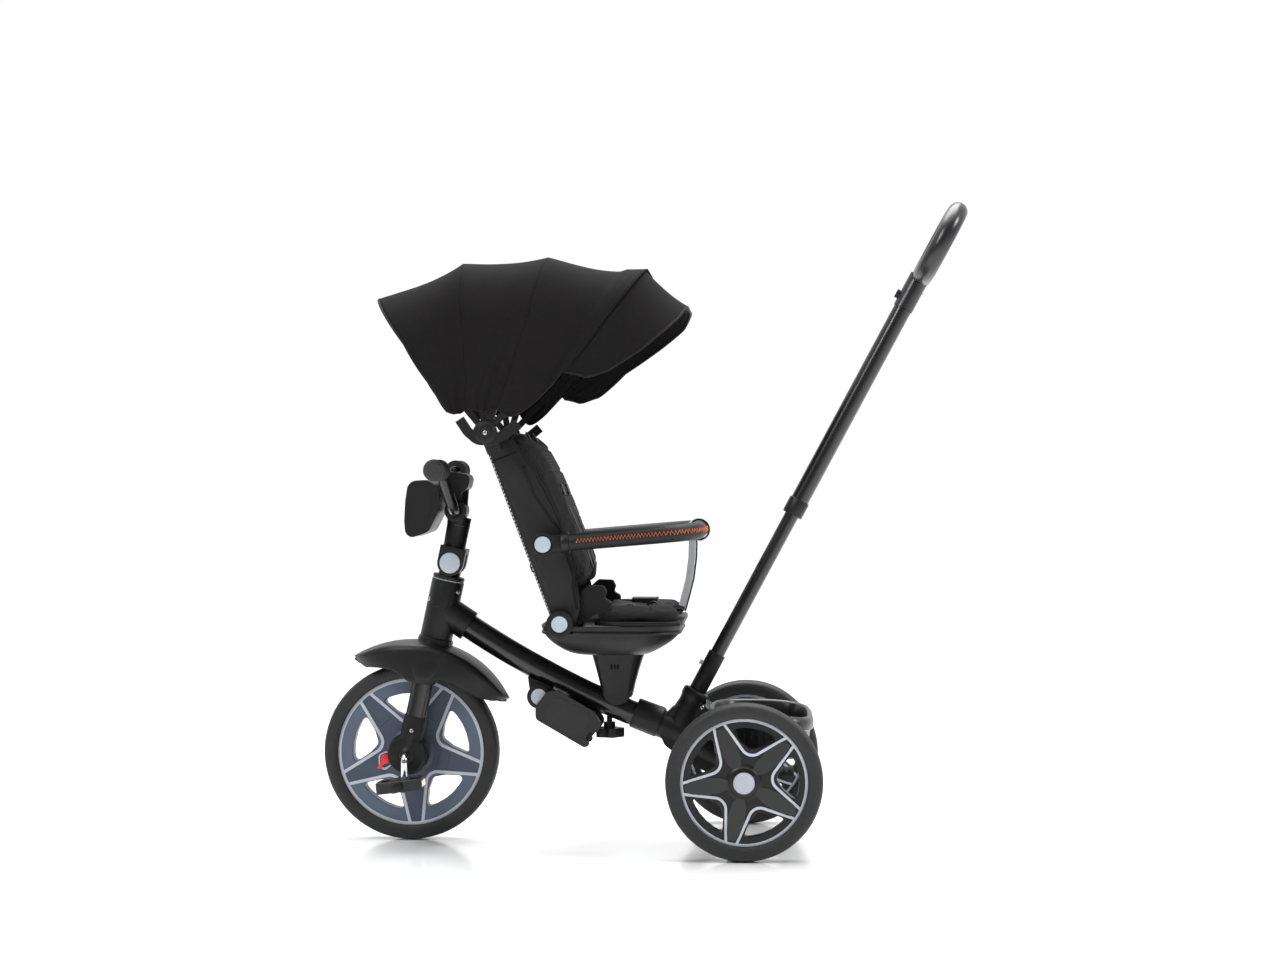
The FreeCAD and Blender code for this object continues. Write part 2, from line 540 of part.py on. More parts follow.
blades, ends = [], []
for side in (1, -1):
    blade = cylinder("bladeRadius", "111.6 - bladeFoot")
    blades.append(onSteering(blade, size("bladeFoot"), y=side * size("bladeOffset")))
    sleeve = onSteering(cylinder("bladeRadius + 1.5", "bladeFoot - 0.3"), 0, y=side * size("bladeOffset"))
    hub = cylinder("hubRadius", "34", frontCentre + sideAxis * (28 if side > 0 else -62), sideAxis)
    hole = cylinder("crankRadius + runGap", "50", frontCentre + sideAxis * (20 if side > 0 else -70), sideAxis)
    ends.append(cut("fork_end", fuse("fork_end_body", sleeve, hub), hole))
node("fork_blades", group("fork_blades", *blades))
node("fork_ends", group("fork_ends", *ends))

foldZ = size("foldHeight")
tongue = Part.makeBox(32, 18, foldZ - 277, Vector(-16, -9, 277)).fuse(
    Part.makeCylinder(16, 18, Vector(0, -9, foldZ), sideAxis))
stemBase = tongue.fuse(Part.makeCylinder(24.5, 6.3, Vector(0, 0, 271.2)))
stemBase = stemBase.cut(Part.makeCylinder(size("postRadius") + 0.05, 17.4, Vector(0, 0, 260)))
stemBase = stemBase.cut(Part.makeCylinder(size("pinRadius") + 0.05, 60, Vector(0, -30, foldZ), sideAxis))
feature("stem_base", stemBase, steering)

clevis = Part.makeBox(40, 49, 8, Vector(-20, -24.5, foldZ + 16.5))
for y in (9.5, -24.5):
    clevis = clevis.fuse(Part.makeCylinder(20, 15, Vector(0, y, foldZ), sideAxis))
    clevis = clevis.fuse(Part.makeBox(40, 15, 20, Vector(-20, y, foldZ)))
clevis = clevis.fuse(Part.makeCylinder(size("pinRadius"), 40, Vector(0, -20, foldZ), sideAxis))
clevis = clevis.fuse(Part.makeCylinder(15.5, 50, Vector(0, 0, foldZ + 22)))
clevis = clevis.cut(Part.makeCylinder(16.4, 8, Vector(0, -25, foldZ), sideAxis))
feature("stem_button", Part.makeCylinder(16, 8, Vector(0, -28, foldZ), sideAxis), steering)

elbow = clevis.fuse(Part.makeCylinder(17, 40, Vector(-9.3, -20, 378), sideAxis))
elbow = elbow.cut(Part.makeCylinder(size("barRadius") + 0.05, 80, Vector(-9.3, -40, 378), sideAxis))
feature("stem_clevis", elbow, steering)


def roundPath(points, radius):
    """Open wire through points, with an arc of the given radius at each inner corner."""
    edges, start = [], points[0]
    for before, corner, after in zip(points, points[1:], points[2:]):
        back, ahead = (before - corner).normalize(), (after - corner).normalize()
        half = back.getAngle(ahead) / 2
        run = radius / math.tan(half)
        middle = (back + ahead).normalize() * (radius / math.sin(half) - radius)
        edges.append(Part.LineSegment(start, corner + back * run).toShape())
        edges.append(Part.Arc(corner + back * run, corner + middle, corner + ahead * run).toShape())
        start = corner + ahead * run
    edges.append(Part.LineSegment(start, points[-1]).toShape())
    return Part.Wire(edges)


def pipe(path, radius, direction):
    start = path.Vertexes[0].Point
    return path.makePipeShell([Part.Wire([Part.makeCircle(radius, start, direction)])], True, False)


barX, barZ, barEnd = size("barX"), size("barZ"), size("barHalfWidth")
clamp = steering.multVec(Vector(-9.3, 0, 378))
barPoints = [Vector(barX, -barEnd, barZ), Vector(barX, -75, barZ), Vector(clamp.x, -38, clamp.z),
             Vector(clamp.x, 38, clamp.z), Vector(barX, 75, barZ), Vector(barX, barEnd, barZ)]
feature("handlebar", pipe(roundPath(barPoints, 30), size("barRadius"), sideAxis))
grips = []
for side in (1, -1):
    start = Vector(barX, side * 92, barZ)
    grip = Part.makeCylinder(size("gripRadius"), 60, start, sideAxis * side)
    grip = grip.fuse(Part.makeCylinder(size("gripRadius") + 2.5, 5, start, sideAxis * side))
    end = Part.makeCylinder(size("gripRadius") + 2.5, 5, start + sideAxis * side * 58, sideAxis * side)
    bore = Part.makeCylinder(size("barRadius") + 0.05, 59, start - sideAxis * side, sideAxis * side)
    grips.append(grip.fuse(end).cut(bore))
feature("grips", Part.makeCompound(grips))
podLoop = [(-356.8, 553), (-361.4, 522.5), (-363, 491.7), (-361.4, 473), (-352.6, 466), (-326, 475),
           (-309.4, 507.7), (-309, 544), (-329, 554.8)]
podFront = padded("pod_front", [podLoop], "96")
boxLoop = [(-312, 568), (-305, 568.6), (-263, 562.5), (-268, 541), (-278, 536), (-278, 525.5), (-298, 526),
           (-296, 545), (-312, 545)]
podBack = padded("pod_back", [boxLoop], "54")
hornHole = cylinder("3.3", "30", Vector(-290, 0, 550))
node("dash_pod", cut("dash_pod", fuse("pod_whole", podFront, podBack), hornHole))
node("horn_button", fuse("horn_button", cylinder("10", "4", Vector(-290, 0, 571.6)),
                         cylinder("3", "18", Vector(-290, 0, 554))))

# ---- wheels, crank and pedals ----
node("front_tyre", ringBody("front_tyre", "frontRadius", "frontRadius - frontTyreWall + runGap",
                            "frontTyreWidth", 9, frontCentre))
frontDisc = padded("front_rim", windows(5, size("frontWindowTurn"), size("frontWindowInner"),
                                        size("frontWindowOuter"), size("windowHalfTurn")),
                   "frontDiscWidth", circles=["frontRadius - frontTyreWall"],
                   placeAt=Placement(frontCentre, Rotation()))
frontHub = cylinder("31", "frontTyreWidth + 4", frontCentre - sideAxis * 23, sideAxis)
frontBore = cylinder("crankRadius + runGap", "80", frontCentre - sideAxis * 40, sideAxis)
node("front_disc", cut("front_disc", fuse("front_wheel_body", frontDisc, frontHub), frontBore))
leverAt = frontCentre + Vector(-39, -19, -11.5)
leverGrip = box("5", "4.6", "16", Vector(-2.5, 0, -18))
leverGrip.Placement = Placement(leverAt, Rotation(sideAxis, 36)).multiply(
    Placement(Vector(-2.5, 0, -18), Rotation()))
node("clutch_lever", fuse("clutch_lever", cylinder("7", "4.6", leverAt, sideAxis), leverGrip))

reach, throw, rod = size("crankReach"), size("crankThrow"), size("crankRadius")
crankPath = roundPath([frontCentre + Vector(0, -reach - 66, -throw), frontCentre + Vector(0, -reach, -throw),
                       frontCentre + Vector(0, -reach, 0), frontCentre + Vector(0, reach, 0),
                       frontCentre + Vector(0, reach, throw), frontCentre + Vector(0, reach + 66, throw)], 9)
feature("crank", pipe(crankPath, rod, sideAxis))
for word, side in (("left", -1), ("right", 1)):
    centre = frontCentre + Vector(0, side * (reach + 37), side * throw)
    tread = box("pedalLength", "pedalWidth - 16", "pedalThickness", Vector(-size("pedalLength") / 2, -23,
                                                                        -size("pedalThickness") / 2))
    sleeveRod = cylinder("8.5", "pedalWidth - 12", Vector(0, -25, 0), sideAxis)
    pedalBore = cylinder("crankRadius + runGap", "80", Vector(0, -40, 0), sideAxis)
    pedal = cut("pedal_" + word, fuse("pedal_body", tread, sleeveRod), pedalBore)
    node("pedal_" + word, pedal, turned(centre, sideAxis, -7))

for word, side in (("left", -1), ("right", 1)):
    centre = rearCentre + sideAxis * side * size("rearTrack") / 2
    node("rear_tyre_" + word, ringBody("rear_tyre_" + word, "rearRadius", "rearRadius - rearTyreWall + runGap",
                                       "rearTyreWidth", 9, centre))
    rim = padded("rear_rim", windows(5, size("rearWindowTurn"), size("rearWindowInner"),
                                     size("rearWindowOuter"), size("windowHalfTurn")),
                 "rearDiscWidth", circles=["rearRadius - rearTyreWall"], placeAt=Placement(centre, Rotation()))
    hub = cylinder("19", "rearTyreWidth - 4", centre - sideAxis * side * 17, sideAxis * side)
    cap = cylinder("16", "5", centre + sideAxis * side * 20, sideAxis * side)
    bore = cylinder("axleRadius + runGap", "40", centre - sideAxis * side * 22, sideAxis * side)
    node("rear_disc_" + word, cut("rear_disc_" + word, fuse("rear_wheel_body", rim, hub, cap), bore))

# ---- push handle ----
upperTube = cylinder("upperTubeRadius", "upperTubeTop - upperTubeFoot")
upperCollar = cylinder("upperTubeRadius + 1.5", "24")
upperBore = cylinder("lowerTubeRadius + runGap", "upperTubeTop")
for item, z in ((upperTube, size("upperTubeFoot")), (upperCollar, size("upperTubeFoot")), (upperBore, 200)):
    item.Placement = handle.multiply(Placement(Vector(0, 0, z), Rotation()))
node("handle_upper_tube", cut("handle_upper_tube", fuse("upper_whole", upperTube, upperCollar), upperBore))

loopTop, loopFoot = size("loopTop") - 9, size("upperTubeTop") + 58
loopWire = roundedLoop(loopFoot, loopTop, size("loopHalfWidth"), 50, 0)
loopWire.rotate(Vector(), sideAxis, -90)
loopWire.translate(Vector(size("loopSet"), 0, 0))
loopStart = loopWire.OrderedVertexes[0].Point
loopTangent = loopWire.OrderedEdges[0].tangentAt(loopWire.OrderedEdges[0].FirstParameter)
loopRing = loopWire.makePipeShell([Part.Wire([Part.makeCircle(size("loopRadius"), loopStart, loopTangent)])],
                                  True, False)
loopHub = Part.makeCylinder(15.5, 56, Vector(0, 0, size("upperTubeTop") + 0.3))
loopBody = loopHub.fuse(loopRing).cut(Part.makeCylinder(7.4, 12, Vector(-20, 0, 617), Vector(1, 0, 0)))
feature("handle_loop", loopBody, handle)
feature("handle_button", Part.makeCylinder(7, 8, Vector(-20.5, 0, 617), Vector(1, 0, 0)), handle)

# ---- checks and files ----
doc.recompute()
for item in doc.Objects:
    if "Invalid" in item.State or "Error" in item.State:
        raise RuntimeError("%s failed: %s" % (item.Name, item.State))
os.makedirs("parts", exist_ok=True)
for item in parts:
    shape = item.Shape
    if shape.isNull() or not shape.isValid() or not shape.Solids:
        raise RuntimeError("%s has a bad shape" % item.Label)
    shape.exportStep("parts/%s.step" % item.Label)
    print("%-22s %9.0f mm3, %d solid(s)" % (item.Label, shape.Volume, len(shape.Solids)))
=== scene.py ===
import json
import math
import bpy
import bmesh
from mathutils import Matrix, Vector, noise


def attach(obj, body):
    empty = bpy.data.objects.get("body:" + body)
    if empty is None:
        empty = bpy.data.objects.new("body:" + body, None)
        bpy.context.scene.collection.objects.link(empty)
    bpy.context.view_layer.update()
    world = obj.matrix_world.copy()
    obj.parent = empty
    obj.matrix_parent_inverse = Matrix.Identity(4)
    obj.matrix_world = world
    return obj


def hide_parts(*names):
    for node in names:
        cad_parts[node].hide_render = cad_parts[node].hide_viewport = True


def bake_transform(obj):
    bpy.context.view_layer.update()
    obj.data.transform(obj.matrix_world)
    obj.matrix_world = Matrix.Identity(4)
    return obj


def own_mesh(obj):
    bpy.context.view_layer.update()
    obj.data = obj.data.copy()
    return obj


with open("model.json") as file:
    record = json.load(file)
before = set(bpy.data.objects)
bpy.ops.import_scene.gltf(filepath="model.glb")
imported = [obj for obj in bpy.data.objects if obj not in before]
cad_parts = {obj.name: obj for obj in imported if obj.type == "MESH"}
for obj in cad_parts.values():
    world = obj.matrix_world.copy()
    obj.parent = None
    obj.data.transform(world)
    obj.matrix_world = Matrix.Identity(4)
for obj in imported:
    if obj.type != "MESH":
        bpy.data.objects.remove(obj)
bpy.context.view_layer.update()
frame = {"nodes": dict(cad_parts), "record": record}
mm = 0.001
record = frame["record"]
bodyOf = {node: body for body, nodes in record["behaviour"]["bodies"].items() for node in nodes}
joints = {joint["name"]: joint for joint in record["behaviour"]["joints"]}
sides = (("left", -1), ("right", 1))


# places, in millimetres like every shape below
def jointPlace(joint, tilt=0.0):
    origin = Vector(joints[joint]["pos_m"]) / mm
    return Matrix.Translation(origin) @ turned(tilt, "Y")


def at(x=0.0, y=0.0, z=0.0):
    return Matrix.Translation((x, y, z))


def turned(degrees, axis):
    return Matrix.Rotation(math.radians(degrees), 4, axis)


def alongY(side=1):
    return turned(-90 * side, "X")


facing = alongY(-1)                                              # local Z to the near side
tilts = {"rake": 12, "handle": 28.2, "back": -20.9, "bumper": -4.9, "foot": 30}
frontPlace = jointPlace("front_wheel_spin")
steerPlace = jointPlace("steering", tilts["rake"])
handlePlace = at(114.8, 0, 287.8) @ turned(tilts["handle"], "Y")
backPlace = jointPlace("backrest_recline", tilts["back"])
bumperPlace = jointPlace("bumper_lift", tilts["bumper"])
footPlace = jointPlace("footrest_fold", tilts["foot"])
hubPlace = jointPlace("canopy_fold")


# camera, floor and light
view = {"position": (0.196, -3.70, 0.561), "turn": 3.1, "dip": 0.1, "lens": 67.64,
        "floorColour": (0.93, 0.93, 0.935), "nearLight": 0.2, "farLight": 1.02,
        "overhead": 1.7, "floorGloss": 0.14, "nearEdge": -0.55, "farEdge": 0.25}
lamps = {"keyLight": ((-1.9, -2.4, 2.9), (0, 0, 0.4), 0.9, 62),          # place, target, width, power
         "rearLight": ((2.6, -0.9, 2.2), (0, 0, 0.5), 0.8, 48),
         "topLight": ((0, 1.0, 3.2), (0, 0, 0.3), 2.4, 120)}


def areaLight(name, place, target, width, power):
    data = bpy.data.lights.new(name, "AREA")
    data.shape = "RECTANGLE"
    data.size, data.size_y, data.energy = width, width, power
    lamp = bpy.data.objects.new(name, data)
    bpy.context.scene.collection.objects.link(lamp)
    lamp.location = place
    lamp.rotation_euler = (Vector(target) - Vector(place)).to_track_quat("-Z", "Y").to_euler()


def makeStudio():
    scene = bpy.context.scene
    data = bpy.data.cameras.new("camera")
    data.lens, data.sensor_width = view["lens"], 36
    camera = bpy.data.objects.new("camera", data)
    scene.collection.objects.link(camera)
    camera.location = view["position"]
    camera.rotation_euler = (math.radians(90 - view["dip"]), 0, math.radians(view["turn"]))
    scene.camera = camera
    world = bpy.data.worlds.new("softRoom")
    world.use_nodes = True
    nodes, links = world.node_tree.nodes, world.node_tree.links
    direction, parts = nodes.new("ShaderNodeTexCoord"), nodes.new("ShaderNodeSeparateXYZ")
    ramp = nodes.new("ShaderNodeMapRange")                       # brightest towards the backdrop
    ramp.interpolation_type = "SMOOTHSTEP"
    for word, value in (("From Min", view["nearEdge"]), ("From Max", view["farEdge"]),
                        ("To Min", view["nearLight"]), ("To Max", view["farLight"])):
        ramp.inputs[word].default_value = value
    links.new(direction.outputs["Generated"], parts.inputs[0])
    links.new(parts.outputs["Y"], ramp.inputs["Value"])
    links.new(ramp.outputs["Result"], nodes["Background"].inputs["Strength"])
    nodes["Background"].inputs["Color"].default_value = (1, 1, 1, 1)
    scene.world = world
    scene.view_settings.view_transform = "Standard"
    for name, settings in lamps.items():
        areaLight(name, *settings)
    sun = bpy.data.lights.new("overheadLight", "SUN")
    sun.energy, sun.angle = view["overhead"], math.radians(60)
    scene.collection.objects.link(bpy.data.objects.new("overheadLight", sun))
    bm = bmesh.new()
    bmesh.ops.create_grid(bm, x_segments=1, y_segments=1, size=40)
    mesh = bpy.data.meshes.new("floor")
    bm.to_mesh(mesh)
    bm.free()
    floor = bpy.data.objects.new("floor", mesh)
    scene.collection.objects.link(floor)
    floor.location.z = -0.0005
    material = bpy.data.materials.new("paleFloor")
    material.use_nodes = True
    shader = material.node_tree.nodes["Principled BSDF"]
    shader.inputs["Base Color"].default_value = (*view["floorColour"], 1)
    shader.inputs["Roughness"].default_value = view["floorGloss"]
    shader.inputs["Specular IOR Level"].default_value = 0.5
    mesh.materials.append(material)


makeStudio()
print("studio ready")


# materials: a socket that can be reckoned with
class Wire:
    def __init__(self, finish, socket):
        self.finish, self.socket = finish, socket

    def reckon(self, operation, *others):
        return self.finish.add("ShaderNodeMath", {"operation": operation}, dict(enumerate((self, *others))))

    def __add__(self, other): return self.reckon("ADD", other)
    def __radd__(self, other): return self.reckon("ADD", other)
    def __sub__(self, other): return self.reckon("SUBTRACT", other)
    def __rsub__(self, other): return self.finish.constant(other).reckon("SUBTRACT", self)
    def __mul__(self, other): return self.reckon("MULTIPLY", other)
    def __rmul__(self, other): return self.reckon("MULTIPLY", other)
    def __truediv__(self, other): return self.reckon("DIVIDE", other)
    def __gt__(self, other): return self.reckon("GREATER_THAN", other)
    def __lt__(self, other): return self.reckon("LESS_THAN", other)


class Finish:
    def __init__(self, name, **fixed):
        self.material = bpy.data.materials.new(name)
        self.material.use_nodes = True
        self.tree = self.material.node_tree
        self.shader = self.tree.nodes["Principled BSDF"]
        for word, value in fixed.items():
            self.shader.inputs[word.replace("_", " ")].default_value = value

    def add(self, kind, settings=None, inputs=None, output=0):
        node = self.tree.nodes.new(kind)
        for word, value in (settings or {}).items():
            setattr(node, word, value)
        for word, value in (inputs or {}).items():
            self.feed(node.inputs[word], value)
        return Wire(self, node.outputs[output])

    def feed(self, socket, value):
        if isinstance(value, Wire):
            self.tree.links.new(value.socket, socket)
        else:
            socket.default_value = value

    def constant(self, value):
        return self.add("ShaderNodeMath", {"operation": "ADD"}, {0: value, 1: 0.0})

    def coords(self, kind="Object"):
        return self.add("ShaderNodeTexCoord", output=kind)

    def noise(self, scale, detail=2.0):
        return self.add("ShaderNodeTexNoise", {}, {"Vector": self.coords(), "Scale": scale, "Detail": detail})

    def split(self, vector):
        node = self.tree.nodes.new("ShaderNodeSeparateXYZ")
        self.feed(node.inputs[0], vector)
        return [Wire(self, socket) for socket in node.outputs]

    def mix(self, factor, first, second):
        return self.add("ShaderNodeMix", {"data_type": "RGBA"}, {"Factor": factor, 6: first, 7: second}, 2)

    def put(self, word, value):
        self.feed(self.shader.inputs[word], value)

    def bump(self, height, strength, distance):
        self.put("Normal", self.add("ShaderNodeBump", {}, {"Height": height, "Strength": strength,
                                                           "Distance": distance}))


def shade(colour, factor):
    return (*[min(1.0, part * factor) for part in colour], 1.0)


def moulded(name, colour, rough, grain=900, depth=0.00012, spread=0.12, **fixed):
    # moulded plastic or paint: cloudy colour, uneven gloss and a fine grain
    finish = Finish(name, **fixed)
    cloud = finish.noise(14, 4)
    fine = finish.noise(grain, 3)
    finish.put("Base Color", finish.mix(cloud, shade(colour, 0.8), shade(colour, 1.25)))
    finish.put("Roughness", rough - spread / 2 + finish.noise(45, 5) * spread)
    finish.bump(fine + cloud * 0.3, 0.35, depth)
    return finish.material


def woven(name, colour, pitch=0.0011, rough=0.85, coordinates="Object", depth=0.00035, **fixed):
    # plain cloth: crossing threads, slubs and slight fading
    finish = Finish(name, **fixed)
    x, y, z = finish.split(finish.coords(coordinates))
    wave = 2 * math.pi / pitch
    if coordinates == "UV":
        threads = (x * wave).reckon("SINE") * (y * wave).reckon("SINE")
    else:
        threads = ((x + z) * wave).reckon("SINE") * ((y + z) * wave).reckon("SINE")
    slub = finish.noise(160, 3)
    fade = finish.noise(9, 4)
    finish.put("Base Color", finish.mix(threads * 0.3 + slub * 0.4 + fade * 0.3, shade(colour, 0.6),
                                        shade(colour, 1.5)))
    finish.put("Roughness", rough + (slub - 0.5) * 0.12)
    finish.bump(threads * 0.5 + slub * 0.8 + fade * 0.6, 0.5, depth)
    return finish.material


def meshCloth(name, colour):
    # spacer mesh: rows of small open cells, the cells darkened with painted shade
    finish = Finish(name, Specular_IOR_Level=0.3)
    x, y, z = finish.split(finish.coords())
    wave = 2 * math.pi / 0.0042                                 # one cell each 4.2 mm
    cells = ((y * wave).reckon("SINE") * ((z + x) * wave).reckon("SINE")).reckon("ABSOLUTE")
    # painted shade: the sunken cells take a far darker colour than the threads around them
    cellShade = cells > 0.35
    finish.put("Base Color", finish.mix(cellShade, shade(colour, 1.6), shade(colour, 0.35)))
    finish.put("Roughness", 0.75 + finish.noise(60, 2) * 0.15)
    finish.bump(1 - cells, 0.6, 0.0009)
    return finish.material


def leather(name, colour):
    finish = Finish(name, Specular_IOR_Level=0.28)
    pores = finish.add("ShaderNodeTexVoronoi", {"feature": "DISTANCE_TO_EDGE"},
                       {"Vector": finish.coords(), "Scale": 620.0})
    creases = finish.noise(40, 5)
    finish.put("Base Color", finish.mix(creases, shade(colour, 0.7), shade(colour, 1.5)))
    finish.put("Roughness", 0.42 + creases * 0.16)
    finish.bump(pores * 2 + creases * 0.4, 0.4, 0.0004)
    return finish.material


def rubber(name, dark, dusty, rough, axis=None):
    # axis is the wheel's own (x, z), for fine radial lines about it
    finish = Finish(name)
    dust = finish.noise(22, 5)
    finish.put("Base Color", finish.mix(dust, (*dark, 1), (*dusty, 1)))
    finish.put("Roughness", rough + dust * 0.22)
    if axis:
        x, y, z = finish.split(finish.coords())
        around = (z - axis[1]).reckon("ARCTAN2", x - axis[0])
        finish.bump(finish.noise(600, 3) * 0.4 + (around * 150).reckon("SINE") * 0.6, 0.3, 0.0003)
    else:
        finish.bump(finish.noise(700, 3), 0.4, 0.0004)
    return finish.material


def polished(name, colour, rough):
    finish = Finish(name, Metallic=1.0)
    wear = finish.noise(70, 4)
    finish.put("Base Color", finish.mix(wear, shade(colour, 0.85), shade(colour, 1.05)))
    finish.put("Roughness", rough + wear * 0.08)
    finish.bump(finish.noise(1500, 2), 0.15, 0.00005)
    return finish.material


def reflector(name, colour):
    finish = Finish(name, Coat_Weight=0.8)
    x, y, z = finish.split(finish.coords())
    wave = 2 * math.pi / 0.0022
    prisms = (y * wave).reckon("SINE") * (z * wave).reckon("SINE")
    finish.put("Base Color", finish.mix(prisms * 0.5 + 0.5, shade(colour, 0.75), shade(colour, 1.2)))
    finish.put("Roughness", 0.12 + finish.noise(80, 2) * 0.05)
    finish.bump(prisms, 0.6, 0.0005)
    return finish.material


finishes = {
    "shell": moulded("blackMoulding", (0.0060, 0.0055, 0.0053), 0.43, spread=0.14, Specular_IOR_Level=0.3),
    "tube": moulded("satinPaint", (0.0055, 0.0054, 0.0055), 0.25, 900, 0.000005, 0.05, Coat_Weight=0.15),
    "sheen": moulded("softSheen", (0.010, 0.010, 0.0115), 0.3, 1500, 0.00001, 0.08),
    "tub": moulded("satinTub", (0.010, 0.0098, 0.0095), 0.34, 1200, 0.00004, 0.1),
    "plate": moulded("greyMoulding", (0.016, 0.016, 0.017), 0.42, Specular_IOR_Level=0.35),
    "rimBlue": moulded("slateRim", (0.040, 0.056, 0.090), 0.4, 1200, 0.00006),
    "rimPale": moulded("paleSlateRim", (0.080, 0.106, 0.152), 0.42, 1200, 0.00006),
    "rimBlack": moulded("blackRim", (0.006, 0.006, 0.0065), 0.36, 1200, 0.00006, Specular_IOR_Level=0.35),
    "line": moulded("silverLine", (0.46, 0.49, 0.55), 0.36, 1500, 0.00003, 0.06),
    "button": moulded("greyButton", (0.40, 0.43, 0.49), 0.42, 1500, 0.00004, 0.08),
    "red": moulded("redLever", (0.75, 0.015, 0.02), 0.35, 1200, 0.00004),
    "canopy": woven("canopyCloth", (0.0105, 0.0096, 0.0099), 0.0014, 0.9, "UV", Specular_IOR_Level=0.1),
    "seat": woven("seatCloth", (0.008, 0.008, 0.0085), 0.0016, 0.82, Specular_IOR_Level=0.3),
    "mesh": meshCloth("spacerMesh", (0.010, 0.010, 0.0105)),
    "piping": woven("piping", (0.0065, 0.0065, 0.0065), 0.0012, 0.7, Specular_IOR_Level=0.2),
    "liner": woven("linerCloth", (0.0068, 0.0066, 0.0066), 0.0012, 0.48, depth=0.00012, Specular_IOR_Level=0.35),
    "webbing": woven("webbing", (0.008, 0.008, 0.0085), 0.0018, 0.7),
    "strap": woven("greyStrap", (0.62, 0.65, 0.72), 0.0016, 0.7, depth=0.0001),
    "leather": leather("barLeather", (0.007, 0.007, 0.007)),
    "thread": woven("orangeThread", (0.70, 0.16, 0.05), 0.0007, 0.6),
    "grip": rubber("gripRubber", (0.0105, 0.0105, 0.01125), (0.021, 0.021, 0.0225), 0.55),
    "chrome": polished("chrome", (0.80, 0.80, 0.82), 0.06),
    "steel": polished("plainSteel", (0.50, 0.50, 0.51), 0.25),
    "darkSteel": polished("darkSteel", (0.06, 0.06, 0.065), 0.35),
    "amber": reflector("amberReflector", (0.85, 0.28, 0.02)),
}
print("finishes ready")


# modelling helpers
def newPiece(name, bm, finish, place=None, scale=mm):
    # the shape in its place, in metres, on no body yet
    bmesh.ops.transform(bm, matrix=place or Matrix.Identity(4), verts=bm.verts)
    bmesh.ops.scale(bm, vec=(scale, scale, scale), verts=bm.verts)
    mesh = bpy.data.meshes.new(name)
    bm.to_mesh(mesh)
    bm.free()
    piece = bpy.data.objects.new(name, mesh)
    bpy.context.scene.collection.objects.link(piece)
    dress(mesh, finish)
    return piece


def dress(mesh, finish):
    mesh.materials.clear()
    mesh.materials.append(finishes[finish])
    mesh.polygons.foreach_set("use_smooth", [True] * len(mesh.polygons))


def wallOf(piece, thick):
    wall = piece.modifiers.new("wall", "SOLIDIFY")
    wall.thickness, wall.offset = thick * mm, -1


def finishPiece(name, bm, finish, body, place=None, replaces=(), slot=None, sharp=34, bevel=0.0, segments=2,
                thick=0.0, scale=mm):
    piece = newPiece(name, bm, finish, place, scale)
    piece.data.set_sharp_from_angle(angle=math.radians(sharp))
    if thick:
        wallOf(piece, thick)
    if bevel:
        edge = piece.modifiers.new("edge", "BEVEL")
        edge.width, edge.segments, edge.limit_method = bevel * mm, segments, "ANGLE"
        edge.angle_limit = math.radians(40)
        edge.harden_normals = True
    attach(piece, body)
    if replaces:
        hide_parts(*replaces)
    return piece


def lathe(profile, steps=64):
    # spin (radius, height) points about local Z
    bm = bmesh.new()
    verts = [bm.verts.new((radius, 0, height)) for radius, height in profile]
    edges = [bm.edges.new(pair) for pair in zip(verts, verts[1:])]
    bmesh.ops.spin(bm, geom=verts + edges, cent=(0, 0, 0), axis=(0, 0, 1), angle=2 * math.pi, steps=steps,
                   use_merge=True)
    bmesh.ops.remove_doubles(bm, verts=bm.verts, dist=0.001)
    bmesh.ops.recalc_face_normals(bm, faces=bm.faces)
    return bm


def disc(radius, low, high, edge=1.0):
    # round knob between two heights with softened rims
    return lathe([(0, low), (radius - edge, low), (radius - edge * 0.3, low + edge * 0.3),
                  (radius, low + edge), (radius, high - edge), (radius - edge * 0.3, high - edge * 0.3),
                  (radius - edge, high), (0, high)], 40)


def ringShape(outer, inner, low, high, edge=1.0, steps=64):
    return lathe([(inner, low), (outer - edge, low), (outer - edge * 0.3, low + edge * 0.3),
                  (outer, low + edge), (outer, high - edge), (outer - edge * 0.3, high - edge * 0.3),
                  (outer - edge, high), (inner, high), (inner, low)], steps)


def slab(outline, low, high, holes=()):
    # flat shape in local XY between two heights, with holes
    bm = bmesh.new()
    for loop in (outline, *holes):
        verts = [bm.verts.new((x, y, low)) for x, y in loop]
        for pair in zip(verts, verts[1:] + verts[:1]):
            bm.edges.new(pair)
    bmesh.ops.triangle_fill(bm, use_beauty=True, use_dissolve=False, edges=bm.edges[:])
    lifted = bmesh.ops.extrude_face_region(bm, geom=bm.faces[:], use_keep_orig=True)["geom"]
    bmesh.ops.translate(bm, vec=(0, 0, high - low),
                        verts=[item for item in lifted if isinstance(item, bmesh.types.BMVert)])
    bmesh.ops.recalc_face_normals(bm, faces=bm.faces)
    return bm


def roundCorners(points, radius, steps=5, closed=True):
    # replace corners by arcs; works on flat or 3-D points
    points = [Vector(point) for point in points]
    count, result = len(points), []
    for index, corner in enumerate(points):
        if not closed and index in (0, count - 1):
            result.append(corner)
            continue
        back = points[index - 1] - corner
        ahead = points[(index + 1) % count] - corner
        half = back.angle(ahead) / 2
        run = min(radius / math.tan(half), 0.48 * back.length, 0.48 * ahead.length)
        arc = run * math.tan(half)
        middle = corner + (back.normalized() + ahead.normalized()).normalized() * (arc / math.sin(half))
        start, end = corner + back.normalized() * run, corner + ahead.normalized() * run
        for step in range(steps + 1):
            spoke = start.lerp(end, step / steps) - middle
            result.append(middle + spoke.normalized() * arc)
    return result


def rounded(outline, radius, steps=5):
    # a flat outline with arcs for corners
    return [point[:2] for point in roundCorners(outline, radius, steps)]


def sideLine(line, y, radius, steps=5):
    # an open line of (x, z) points at one Y, with rounded bends
    return roundCorners([(x, y, z) for x, z in line], radius, steps, closed=False)


